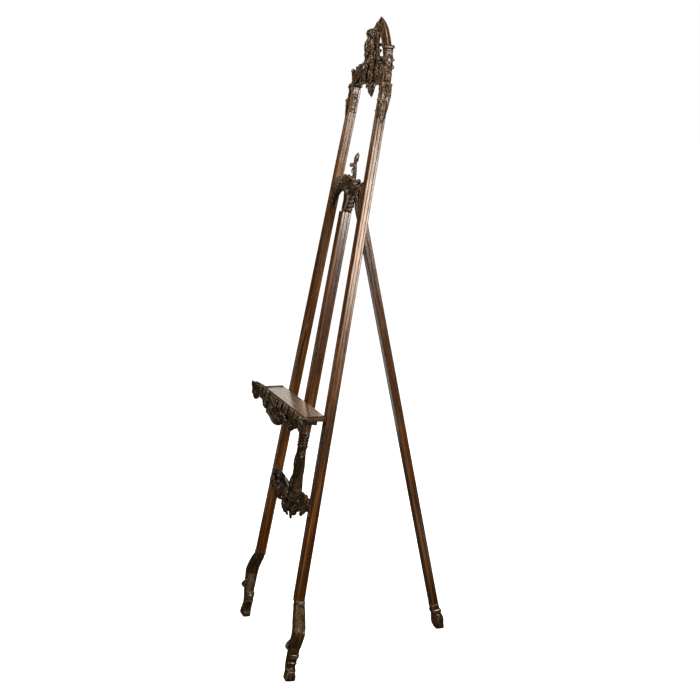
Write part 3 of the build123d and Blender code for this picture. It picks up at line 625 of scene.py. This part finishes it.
def crest_arch():
    """The blade from the cap to the tip, moulded in front, and the pierced leafy bracket."""
    arch = Carving("crest_right_arch_carving", crest_to_object, voxel=1.4)
    rim = [(98, 24, 2086), (90, 24, 2104), (80, 24, 2124), (63, 25, 2148), (36, 27, 2168),
           (12, 28.5, 2182), (2, 29, 2191)]
    arch.tube(rim, [7, 7, 7, 7, 6, 4, 1.2], [8, 8, 8, 7, 5, 3, 1.2], n=50, m=18, square=1.6)
    cove = [(85, 19, 2084), (76, 19, 2100), (66, 19, 2118), (51, 20, 2137), (29, 22, 2153),
            (10, 26, 2166), (2, 28, 2172)]
    arch.tube(cove, [14, 14, 14, 12, 10, 7, 3], [7, 7, 7, 7, 6, 5, 2], n=50, m=18, square=1.4)
    lip = [(80, 14, 2040), (80, 14, 2062), (76, 14, 2084), (68, 14, 2102), (57, 14, 2119),
           (43, 14, 2134), (24, 17, 2147), (8, 20, 2157)]
    arch.tube(lip, [4, 4.5, 5, 6, 6, 5, 4, 3], [6, 7, 7, 7, 6, 6, 5, 4], n=50, m=14)
    arch.leaf([(6, 20, 2152), (8, 17, 2162), (6, 14, 2168), (2, 17, 2175)], [5, 8, 6, 3], [3, 5, 4, 2],
              lobes=2, up=(0.4, -1, 0))
    arch.tube([(30, 14, 2096), (44, 13, 2100), (58, 12, 2098), (68, 12, 2090)], [5, 4, 4, 5])
    arch.leaf([(36, 6, 2050), (50, 4, 2058), (56, 4, 2072), (50, 2, 2082)], [6, 8, 6, 3],
              [4, 5, 4, 3], lobes=3)
    arch.ball((50, 8, 2078), 6)
    arch.scroll((60, 6, 2030), 22, 1.4, -60, 7, 8, flip=1)
    arch.scroll(leaning(60, 8, 1992), 20, 1.3, 120, 7, 8, flip=1)
    arch.scroll(leaning(100, 8, 1992), 15, 1.3, 30, 6, 8, flip=-1)
    arch.tube([(30, 10, 2046), (60, 10, 2052), (86, 12, 2044), (90, 14, 2022), leaning(96, 8, 2000),
               leaning(118, 6, 1982), leaning(144, 4, 1972)], [7, 8, 9, 9, 8, 7, 5], [8], n=50)
    arch.tube([leaning(26, 8, 1986), leaning(56, 6, 1976), leaning(96, 4, 1972),
               leaning(146, 2, 1970)], [7, 7, 6, 5], [9], n=40, square=1.4)
    arch.tube([leaning(40, -6, 1968), leaning(70, -8, 1965), leaning(110, -9, 1963),
               leaning(150, -8, 1963)], [3.5, 4, 4, 3.5], n=40)
    arch.leaf([(40, 2, 2040), (52, -4, 2020), (58, -8, 1998), leaning(54, 0, 1974)],
              [8, 15, 14, 5], [5, 8, 7, 4], lobes=5)
    arch.leaf([(84, 4, 2030), (82, -2, 2010), leaning(80, 2, 1990), leaning(76, 0, 1970)],
              [7, 12, 11, 4], [4, 7, 6, 4], lobes=5)
    arch.leaf([leaning(112, 6, 1998), leaning(116, 0, 1988), leaning(112, -2, 1976),
               leaning(104, -4, 1966)], [5, 9, 8, 3], [4, 5, 4, 3], lobes=3)
    arch.bud((68, 0, 2046), 12, 5)
    arch.bud(leaning(92, 4, 1998), 11, 5)
    arch.ball((0, 27, 2182), (9, 4, 9))
    return arch


def crest_cartouche():
    """The shield: a forward scroll on top, ribs down its sides and layered leaves in front."""
    shield = Carving("crest_cartouche_carving", crest_to_object, voxel=1.5)
    shield.tube([(0, 10, 1966), (0, 6, 1990), (0, 0, 2020), (0, -4, 2050), (0, -4, 2080),
                 (0, 2, 2110), (0, 9, 2136), (0, 17, 2154)],
                [22, 27, 29, 30, 29, 26, 22, 12], [14, 17, 18, 19, 19, 18, 16, 8], ridges=9,
                ridge=0.07, n=60, m=40)
    for side_x in (-1, 1):
        shield.scroll((17 * side_x, -5, 2134), 16, 1.4, 100, 5.5, 8, along=(0, -1, 0))
        shield.tube(sided(side_x, (26, 8, 2138), (32, 6, 2112), (36, 4, 2080), (38, 3, 2050),
                          (36, 4, 2018), (28, 4, 1985)), [5, 6, 6.5, 6.5, 6, 4], n=46)
        shield.leaf(sided(side_x, (18, -12, 2116), (23, -15, 2102), (27, -14, 2084),
                          (29, -15, 2068)), [8, 13, 12, 4], [5, 7, 7, 4], up=(0.7 * side_x, -1, 0))
        shield.leaf(sided(side_x, (18, -12, 2070), (25, -16, 2052), (29, -14, 2032),
                          (32, -15, 2014)), [8, 14, 13, 4], [5, 7, 7, 4], up=(0.7 * side_x, -1, 0))
        shield.leaf(sided(side_x, (14, -10, 2030), (22, -16, 2010), (27, -18, 1990),
                          (28, -20, 1972)), [8, 13, 12, 4], [5, 7, 6, 3], up=(0.6 * side_x, -1, 0))
        shield.ball((22 * side_x, -14, 2104), 6.5)
        shield.ball((32 * side_x, -13, 2044), 6.5)
    shield.tube([(-22, -7, 2136), (0, -9, 2138), (22, -7, 2136)], [12, 14, 12], [11, 13, 11],
                up=(0, 0, 1), ridges=8, ridge=0.06, m=32)
    shield.leaf([(0, -14, 2124), (0, -18, 2112), (0, -24, 2102), (0, -30, 2090)], [8, 14, 12, 5],
                [5, 7, 7, 4], lobes=3)
    shield.leaf([(0, -14, 2094), (0, -21, 2078), (0, -25, 2064), (0, -28, 2056)], [8, 16, 14, 5],
                [6, 8, 8, 4])
    shield.leaf([(0, -14, 2056), (0, -22, 2040), (0, -25, 2022), (0, -24, 2006)], [8, 15, 13, 5],
                [6, 8, 7, 4])
    shield.bud((0, -20, 2088), 13, 6)
    shield.leaf([(0, 14, 2148), (0, 13, 2158), (0, 14, 2165), (0, 19, 2170)], [6, 9, 7, 3],
                [4, 5, 4, 2], lobes=2)
    return shield


def crest_pendant():
    """The leaf drop under the cartouche, with a pair of small leaves to each side."""
    drop = Carving("crest_pendant_carving", crest_to_object, voxel=1.2)
    drop.leaf([(0, -6, 1980), (0, -12, 1962), (0, -12, 1944), (0, -5, 1926)], [12, 14, 10, 2],
              [6, 8, 6, 2], notch=0.3)
    for side_x in (-1, 1):
        drop.leaf(sided(side_x, (8, -6, 1982), (14, -14, 1970), (18, -17, 1962), (20, -18, 1955)),
                  [8, 10, 8, 2], [4, 6, 5, 2], lobes=3, up=(0.5 * side_x, -1, 0))
        drop.leaf(sided(side_x, (8, -2, 1984), (14, -2, 1973), (17, -3, 1966), (18, -4, 1959)),
                  [8, 11, 8, 2], [4, 6, 5, 2], lobes=3, up=(side_x, 0, 0))
    drop.leaf([(0, 0, 1982), (0, 0, 1964), (0, -2, 1948), (0, -5, 1930)], [12, 13, 9, 2],
              [5, 6, 5, 2], notch=0.3, up=BACK)
    drop.tube([(0, -2, 1982), (0, -4, 1962), (0, -5, 1944), (0, -5, 1930)], [14, 12, 8, 3],
              [11, 9, 6, 2], n=24)
    drop.ball((0, -5, 1976), (14, 11, 12))
    return drop


def upper_rail():
    """A carved bracket: ribbed shield in the middle, scrolls to each side, tails down the stiles."""
    rail = Carving("upper_rail_carving", voxel=1.5)
    for x, s in ((0, 1646), (22, 1650), (-22, 1650)):
        rail.bud((x, -14, s - 6), 14, 6)
    rail.tube([(-66, -4, 1612), (-34, -4, 1626), (0, -4, 1632), (34, -4, 1626), (66, -4, 1612)],
              [16, 20, 22, 20, 16], [13, 15, 15, 15, 13], n=50, ridges=6, ridge=0.05, m=28)
    rail.tube([(0, 2, 1510), (0, 0, 1526), (0, -2, 1556), (0, -4, 1584), (0, -5, 1612)],
              [14, 16, 18, 19, 18], [12, 14, 14, 14, 12], n=40, m=28)
    rim = [(0, -13, 1530), (13, -11, 1542), (17, -9, 1570), (15, -12, 1594), (0, -17, 1606),
           (-15, -12, 1594), (-17, -9, 1570), (-13, -11, 1542), (0, -13, 1530)]
    rail.tube(rim, [4.2], [4.5], n=80, m=12)
    for side_x in (-1, 1):
        rail.tube(sided(side_x, (20, 6, 1530), (22, 6, 1566), (28, 4, 1596), (62, 1, 1610),
                        (92, -3, 1608), (124, -4, 1592), (146, -4, 1564), (156, 0, 1530)),
                  [4, 5, 6, 8, 9, 9, 7, 4], [6, 7, 8, 10, 10, 9, 7, 5], n=60, square=1.3)
        rail.scroll((92 * side_x, -8, 1622), 20, 1.5, 180, 6, 9, flip=-side_x)
        rail.scroll((138 * side_x, -2, 1616), 19, 1.4, 90, 6, 9, flip=side_x)
        rail.bud((92 * side_x, -14, 1624), 13, 5)
        rail.bud((136 * side_x, -9, 1618), 12, 5)
        rail.leaf(sided(side_x, (52, -6, 1634), (60, -12, 1626), (66, -13, 1612), (62, -10, 1602)),
                  [7, 11, 10, 4], [4, 6, 5, 3])
        rail.leaf(sided(side_x, (104, -8, 1612), (124, -14, 1598), (140, -14, 1574),
                        (150, -12, 1550), (156, -8, 1532)), [8, 13, 13, 10, 4], [4, 6, 6, 5, 3],
                  lobes=5)
        rail.leaf(sided(side_x, (158, -4, 1632), (162, -12, 1620), (163, -12, 1600),
                        (158, -8, 1584)), [6, 11, 11, 4], [4, 6, 6, 3])
        rail.ball((62 * side_x, -12, 1640), 8)
        rail.ball((114 * side_x, -12, 1640), 8)
        rail.ball((40 * side_x, -14, 1646), 8)
        for i in range(4):
            rail.tube(sided(side_x, (18 + i, -4, 1538 + 14 * i), (25 + i, 5, 1541 + 14 * i),
                            (22 + i, 13, 1544 + 14 * i)), [3], up=(0, 0, 1), n=12, m=10)
    rail.tube([(-150, 4, 1612), (-80, 4, 1618), (0, 4, 1620), (80, 4, 1618), (150, 4, 1612)],
              [14, 17, 20, 17, 14], [7, 7, 7, 7, 7], n=50, square=1.8)
    return rail


def rail_finial():
    """A stem with a bud on its front and a curled leaf."""
    finial = Carving("rail_finial_carving", voxel=1.0)
    finial.tube([(0, 4, 1646), (0, 4, 1660), (0, 3, 1676), (0, 0, 1690), (0, -1, 1704)],
                [9, 7.5, 6.5, 7, 7], [8, 6.8, 6, 6, 6], ridges=5, ridge=0.1, n=30)
    finial.ball((0, -12, 1690), (7.5, 7, 7.5))
    finial.ball((0, -6, 1692), (6, 6, 6))
    finial.leaf([(0, 2, 1694), (0, 0, 1706), (0, -1, 1718), (0, 3, 1730), (0, 6, 1734)],
                [8, 11, 11, 8, 3], [5, 6, 5, 4, 2], lobes=3)
    finial.leaf([(0, 2, 1700), (0, 5, 1712), (0, 6, 1724), (0, 8, 1731)], [7, 9, 7, 2],
                [4, 4, 3, 2], lobes=3, up=BACK)
    finial.leaf([(0, -4, 1682), (0, -6, 1672), (0, -5, 1664)], [6, 8, 3], [3, 3, 2], lobes=2)
    return finial


def lower_rail():
    """A garland of large leaves that hangs between the stiles."""
    rail = Carving("lower_rail_carving", voxel=1.6)
    for side_x in (-1, 1):
        rail.tube(sided(side_x, (262, -2, 560), (215, -3, 562), (165, -4, 554), (110, -5, 548),
                        (55, -6, 534), (0, -6, 530)), [12, 20, 24, 28, 32, 34],
                  [9, 12, 13, 14, 15, 16], n=60, ridges=7, ridge=0.08, m=36)
        rail.leaf(sided(side_x, (262, -4, 544), (248, -12, 560), (226, -16, 574), (200, -15, 580),
                        (174, -12, 572)), [8, 13, 16, 16, 8], [5, 8, 9, 8, 4], lobes=5)
        rail.leaf(sided(side_x, (236, -8, 560), (212, -20, 545), (188, -20, 530), (168, -14, 520)),
                  [10, 17, 16, 6], [6, 9, 8, 4])
        rail.leaf(sided(side_x, (184, -6, 580), (152, -16, 578), (120, -17, 580), (96, -12, 584)),
                  [10, 17, 16, 6], [6, 9, 8, 4], lobes=5)
        rail.leaf(sided(side_x, (166, -8, 548), (140, -22, 532), (112, -22, 516), (84, -14, 506)),
                  [10, 18, 17, 6], [6, 10, 9, 4], lobes=5)
        rail.leaf(sided(side_x, (112, -8, 556), (84, -24, 548), (56, -24, 546), (30, -16, 556)),
                  [10, 18, 17, 6], [6, 10, 9, 4], lobes=5)
        rail.leaf(sided(side_x, (88, -8, 534), (66, -12, 516), (50, -12, 496), (38, -6, 475)),
                  [12, 17, 17, 14], [6, 8, 8, 7], lobes=5)
        rail.leaf(sided(side_x, (34, -10, 528), (26, -21, 510), (18, -21, 496), (12, -12, 479)),
                  [10, 15, 14, 11], [7, 9, 8, 7])
        rail.scroll((228 * side_x, -12, 560), 17, 1.4, 0, 6, 9, flip=side_x)
        rail.scroll((30 * side_x, 2, 492), 14, 1.3, 90, 5, 10, flip=side_x)
        rail.ball((140 * side_x, -20, 552), 10)
        rail.ball((74 * side_x, -22, 530), 10)
        rail.leaf(sided(side_x, (252, -6, 560), (258, -14, 540), (256, -12, 526), (252, -6, 516)),
                  [8, 12, 11, 7], [4, 6, 5, 3], lobes=3)
        for x, s in ((205, 548), (130, 532), (66, 520)):
            rail.leaf(sided(side_x, (x + 16, 4, s + 20), (x, 11, s + 6), (x - 22, 12, s - 8),
                            (x - 36, 8, s - 18)), [8, 14, 13, 5], [4, 6, 6, 3], up=BACK)
    rail.bud((0, -20, 542), 20, 6)
    return rail


def centre_console():
    """The S-shaped stem between the lower rail and the post: ribbed above, smooth in the middle."""
    console = Carving("centre_console_carving", voxel=1.3)
    console.tube([(0, 3, 540), (0, 4, 575), (0, 2, 612), (0, 2, 646), (0, 0, 680), (0, -1, 705),
                  (0, -1, 741), (0, -3, 769)], [26, 23, 20, 20, 19, 18, 18.5, 20],
                 [21, 20, 18, 17.5, 16, 15, 15.5, 15], n=60, m=28, square=1.5)
    for s, wide in ((764, 21), (757, 20), (716, 19), (606, 17)):
        console.stack([(s - 4, 0, 0, wide - 3, 14), (s, 0, 0, wide, 16.5), (s + 3, 0, 0, wide - 3, 14)],
                      0.6)
    for i in range(4):
        s = 752 - 10 * i
        console.tube([(-18, 0, s), (-10, -14, s - 2), (0, -16.5, s - 3), (10, -14, s - 2),
                      (18, 0, s)], [4], [3.4], up=(0, 0, 1), n=26, m=12)
        console.tube([(-18, 0, s), (-10, 12, s - 2), (0, 14, s - 3), (10, 12, s - 2), (18, 0, s)],
                     [4], [3.2], up=(0, 0, 1), n=26, m=12)
    for side_x in (-1, 1):
        console.scroll((15 * side_x, 4, 634), 13, 1.3, -90, 4, 5, along=(0, 1, 0))
        console.scroll((15 * side_x, -2, 690), 11, 1.3, 90, 4, 5, along=(0, -1, 0))
        console.tube(sided(side_x, (18, 9, 646), (18, 2, 664), (18, -5, 682)), [3],
                     up=(side_x, 0, 0))
    console.leaf([(0, -12, 700), (0, -16, 676), (0, -16, 650), (0, -14, 628)], [8, 13, 12, 4],
                 [3, 4, 4, 2])
    console.leaf([(0, -14, 616), (0, -17, 598), (0, -18, 580), (0, -16, 562)], [8, 15, 16, 9],
                 [3, 5, 5, 3], lobes=3)
    return console


def shelf_apron():
    """The carved front under the board: a bulging shell in the middle and scrolls to each side."""
    apron = Carving("shelf_apron_carving", shelf_to_object, voxel=1.7)
    top = 858.0
    apron.tube([(-291, 60, top), (0, 59, top), (291, 60, top)], [5], [6], n=60, square=2.0)
    apron.tube([(-291, 60, top - 13), (0, 60, top - 13), (291, 60, top - 13)], [9], [6], n=60,
               square=1.6)
    apron.tube([(-200, 62, top - 26), (0, 62, top - 30), (200, 62, top - 26)], [12], [6], n=40,
               square=1.6)
    for i in range(-12, 13):
        x = 23.5 * i + apron.random.uniform(-6, 6)
        drop = apron.random.uniform(12, 26)
        ahead = 9 * math.exp(-(x / 110) ** 2) + apron.random.uniform(-2, 4)
        apron.leaf([(x, 60, top + 3), (x + 5, 54 - ahead, top + 4), (x + 12, 48 - ahead, top - 6),
                    (x + 10, 52 - ahead, top - drop)], [9, 15, 14, 7], [4, 6, 5, 3],
                   lobes=int(apron.random.integers(2, 5)))
    apron.tube([(-74, 45, 824), (-40, 40, 815), (0, 38, 812), (40, 40, 815), (74, 45, 824)],
               [19, 24, 26, 24, 19], [12, 15, 16, 15, 12], n=50, m=28)
    for i in range(-4, 5):
        lean = i / 4
        apron.leaf([(6 * i, 40, 838), (14 * i, 27, 824), (19 * i, 28, 808 + 10 * abs(lean)),
                    (20 * i, 37, 793 + 14 * lean ** 2)], [5, 9, 10, 5], [4, 6, 6, 4], lobes=2)
    apron.bud((0, 30, 838), 17, 6)
    for side_x in (-1, 1):
        apron.tube(sided(side_x, (160, 54, 824), (110, 51, 822), (70, 48, 818)), [13, 14, 14],
                   [9, 11, 12], n=30)
    for side_x in (-1, 1):
        apron.tube(sided(side_x, (74, 54, 836), (110, 55, 834), (150, 55, 828), (196, 55, 828),
                         (240, 56, 838), (288, 56, 842)), [18, 14, 18, 17, 10, 9],
                   [8, 8, 9, 9, 7, 7], n=60, m=24)
        apron.scroll((92 * side_x, 47, 828), 17, 1.4, 200, 6, 10, flip=side_x)
        apron.scroll((168 * side_x, 49, 823), 22, 1.5, 200, 6, 10, flip=side_x)
        apron.scroll((204 * side_x, 55, 831), 14, 1.4, -20, 6, 10, flip=-side_x)
        apron.leaf(sided(side_x, (96, 50, 848), (116, 38, 842), (136, 38, 830), (150, 46, 814)),
                   [8, 13, 12, 4], [5, 7, 7, 3])
        apron.leaf(sided(side_x, (176, 52, 848), (186, 46, 832), (184, 45, 818), (176, 50, 806)),
                   [8, 14, 13, 4], [5, 8, 7, 3])
        apron.leaf(sided(side_x, (214, 54, 848), (238, 48, 842), (258, 48, 838), (280, 52, 834)),
                   [8, 12, 11, 4], [5, 7, 6, 3])
        apron.leaf(sided(side_x, (250, 56, 850), (270, 51, 847), (288, 51, 847), (300, 53, 850)),
                   [7, 10, 10, 4], [4, 6, 6, 3], lobes=3)
        apron.ball((134 * side_x, 42, 822), 9)
        apron.ball((226 * side_x, 50, 834), 8)
        apron.ball((74 * side_x, 40, 836), 9)
    return apron


def shelf_ear():
    """The flared scroll past the shelf's end."""
    ear = Carving("right_shelf_ear_carving", shelf_to_object, voxel=1.4)
    ear.tube([(284, 60, 848), (300, 58, 846), (316, 53, 846), (328, 46, 852), (335, 40, 864),
              (336, 36, 872)], [14, 17, 18, 16, 10, 4], [8, 9, 10, 10, 8, 4], n=40, m=24)
    ear.tube([(280, 66, 860), (300, 62, 863), (318, 54, 867), (331, 45, 873)], [5, 6, 6, 4],
             [12, 12, 11, 7], n=30, m=18)
    ear.leaf([(288, 54, 860), (306, 49, 862), (322, 43, 868), (333, 37, 876), (336, 35, 880)],
             [8, 12, 11, 7, 2], [4, 6, 6, 4, 2])
    ear.leaf([(286, 54, 842), (304, 48, 832), (320, 44, 822), (332, 42, 816)], [9, 13, 12, 4],
             [5, 7, 6, 3])
    ear.leaf([(298, 52, 850), (316, 44, 846), (330, 38, 842), (338, 36, 832)], [8, 12, 11, 4],
             [5, 7, 6, 3])
    ear.leaf([(318, 56, 832), (332, 50, 836), (339, 44, 848), (336, 40, 862)], [6, 10, 10, 4],
             [4, 6, 5, 3], lobes=3, up=(1, 0, 0))
    ear.scroll((320, 47, 836), 18, 1.5, -90, 6, 10)
    ear.ball((320, 40, 838), 8)
    return ear


def rear_foot():
    """The rear leg's block foot, with a bead and a softened toe."""
    foot = Carving("rear_foot_carving", leg_to_object, voxel=1.3)
    foot.stack([(-5, 0, 3, 18, 14), (4, 0, 3, 21, 16), (18, 0, 3, 22, 16.5), (34, 0, 3, 21.5, 17),
                (50, 0, 3, 21, 17), (56, 0, 2, 20.5, 15), (60, 0, 2, 20.5, 15), (64, 0, 2, 22.5, 17.5),
                (72, 0, 2, 22.5, 17.5), (76, 0, 1, 20.5, 15), (84, 0, 0, 20.5, 14),
                (90, 0, 0, 21.5, 15.5), (96, 0, 0, 20.5, 13.5)], 0.4)
    for side_q in (-1, 1):
        foot.leaf([(0, 3 + 15 * side_q, 54), (0, 3 + 18 * side_q, 38), (0, 3 + 18 * side_q, 22),
                   (0, 3 + 16 * side_q, 8)], [9, 15, 14, 6], [2, 4, 4, 2], up=(0, side_q, 0))
    for side_x in (-1, 1):
        foot.leaf(sided(side_x, (20, 3, 54), (22, 3, 38), (22, 3, 22), (21, 3, 8)), [7, 12, 11, 5],
                  [2, 3.5, 3.5, 2], up=(side_x, 0, 0))
    return above_floor(foot)


def build_pair(right, left_name, body, replaced, material):
    """The right piece and its mirror. replaced names their two nodes, right first."""
    for carving, node_name in zip((right, right.flipped(left_name)), replaced):
        carving.build(body, node_name, material)


for make, stem, wood in ((front_foot, "foot", foot_wood), (crest_post, "crest_post", carved_wood),
                         (shoulder_leaf, "shoulder_leaf", carved_wood)):
    right = make()
    left_name = right.name.replace("right", "left")
    build_pair(right, left_name, "front_frame", (f"right_{stem}", f"left_{stem}"), wood)
build_pair(crest_arch(), "crest_left_arch_carving", "front_frame",
           ("crest_right_arch", "crest_left_arch"), carved_wood)
crest_cartouche().build("front_frame", "crest_cartouche", carved_wood)
crest_pendant().build("front_frame", "crest_pendant", carved_wood)
upper_rail().build("front_frame", "upper_rail", carved_wood)
rail_finial().build("front_frame", "rail_finial", carved_wood)
lower_rail().build("front_frame", "lower_rail", shaded_low_carved)
centre_console().build("front_frame", "centre_console", shaded_low_carved)
shelf_apron().build("shelf", "shelf_apron", shaded_low_carved)
build_pair(shelf_ear(), "left_shelf_ear_carving", "shelf", ("right_shelf_ear", "left_shelf_ear"),
           shaded_low_carved)
rear_foot().build("rear_leg", "rear_foot", foot_wood)


# ---------- camera ----------
CAMERA_PLACE = (4.7104, -1.4230, 1.8454)
CAMERA_PITCH = 9.41
CAMERA_AZIMUTH = 73.35
CAMERA_LENS = 74.69


def make_camera():
    """To the easel's right, in front of it and lower than its top."""
    data = bpy.data.cameras.new("studio_camera")
    data.lens = CAMERA_LENS
    data.sensor_width = 36.0
    data.clip_end = 60.0
    camera = bpy.data.objects.new("studio_camera", data)
    camera.location = CAMERA_PLACE
    camera.rotation_euler = (math.radians(90 - CAMERA_PITCH), 0, math.radians(CAMERA_AZIMUTH))
    bpy.context.scene.collection.objects.link(camera)
    bpy.context.scene.camera = camera


# ---------- light and floor ----------
FLOOR_REACH = 30.0


def area_light(name, place, aim, size, power, colour, glossy=True):
    """A soft rectangular lamp at place that faces aim. glossy is False where it isn't reflected."""
    data = bpy.data.lights.new(name, "AREA")
    data.shape = "RECTANGLE"
    data.size, data.size_y = size
    data.energy = power
    data.color = colour
    lamp = bpy.data.objects.new(name, data)
    lamp.location = place
    lamp.rotation_euler = (Vector(aim) - Vector(place)).to_track_quat("-Z", "Y").to_euler()
    lamp.visible_camera = False
    lamp.visible_glossy = glossy
    bpy.context.scene.collection.objects.link(lamp)


def make_world():
    """White to the camera, and a dim warm glow to the wood."""
    world = bpy.data.worlds.new("studio")
    world.use_nodes = True
    tree = world.node_tree
    tree.nodes.clear()
    out = tree.nodes.new("ShaderNodeOutputWorld")
    seen = tree.nodes.new("ShaderNodeBackground")
    set_inputs(seen, Color=(1, 1, 1, 1), Strength=1.0)
    lit = tree.nodes.new("ShaderNodeBackground")
    set_inputs(lit, Color=(1, 0.82, 0.58, 1), Strength=0.05)
    path = tree.nodes.new("ShaderNodeLightPath")
    mix = tree.nodes.new("ShaderNodeMixShader")
    tree.links.new(path.outputs["Is Camera Ray"], mix.inputs[0])
    tree.links.new(lit.outputs[0], mix.inputs[1])
    tree.links.new(seen.outputs[0], mix.inputs[2])
    tree.links.new(mix.outputs[0], out.inputs[0])
    bpy.context.scene.world = world


def make_floor():
    """A wide pale floor that the polish doesn't mirror."""
    mesh = bpy.data.meshes.new("floor")
    r = FLOOR_REACH
    mesh.from_pydata([(-r, -r, 0), (r, -r, 0), (r, r, 0), (-r, r, 0)], [], [(0, 1, 2, 3)])
    floor = bpy.data.objects.new("floor", mesh)
    bpy.context.scene.collection.objects.link(floor)
    material = bpy.data.materials.new("pale_floor")
    material.use_nodes = True
    shader = material.node_tree.nodes["Principled BSDF"]
    set_inputs(shader, Base_Color=(0.9, 0.9, 0.9, 1), Roughness=1.0, Specular_IOR_Level=0.0,
               Emission_Color=(1, 1, 1, 1), Emission_Strength=1.05)
    mesh.materials.append(material)
    floor.visible_glossy = False
    floor.visible_diffuse = False


make_camera()
make_world()
make_floor()
area_light("side_softbox", (3.5, 1.15, 1.68), (0.1, 0, 1.55), (0.8, 0.95), 70, (1, 0.96, 0.92))
area_light("back_fill", (-0.8, 3.2, 2.4), (0, 0.2, 1.0), (1.5, 1.5), 42, (1, 0.95, 0.88), glossy=False)
area_light("high_backdrop", (-3.0, -0.95, 2.25), (0, 0, 1.8), (0.6, 0.45), 0.9, (1, 0.85, 0.7))
area_light("rear_card", (1.0, 0.8, 0.03), (1.0, 0.8, 1.0), (1.0, 0.7), 1.8, (1, 0.95, 0.88))
area_light("backdrop", (-3.0, 1.6, 1.45), (0, 0.2, 1.0), (3.0, 0.9), 12, (1, 0.97, 0.9))
area_light("low_backdrop", (-2.2, -0.25, 0.45), (0, 0.15, 0.8), (0.6, 0.9), 1.4, (1, 0.92, 0.82))
area_light("side_fill", (2.3, 0.5, 3.5), (0, 0, 1.9), (1.2, 1.2), 72, (1, 0.95, 0.86), glossy=False)
area_light("front_fill", (1.4, -2.4, 3.4), (0, 0, 1.8), (1.4, 1.4), 34, (1, 0.96, 0.9), glossy=False)
area_light("top_light", (0.8, -1.2, 4.0), (0, 0, 2.0), (1.0, 1.0), 45, (1, 0.92, 0.8))
area_light("front_sparkle", (2.4, -2.6, 1.9), (0, 0, 1.5), (0.5, 1.4), 24, (1, 0.9, 0.75))
bpy.context.scene.view_settings.view_transform = "Standard"
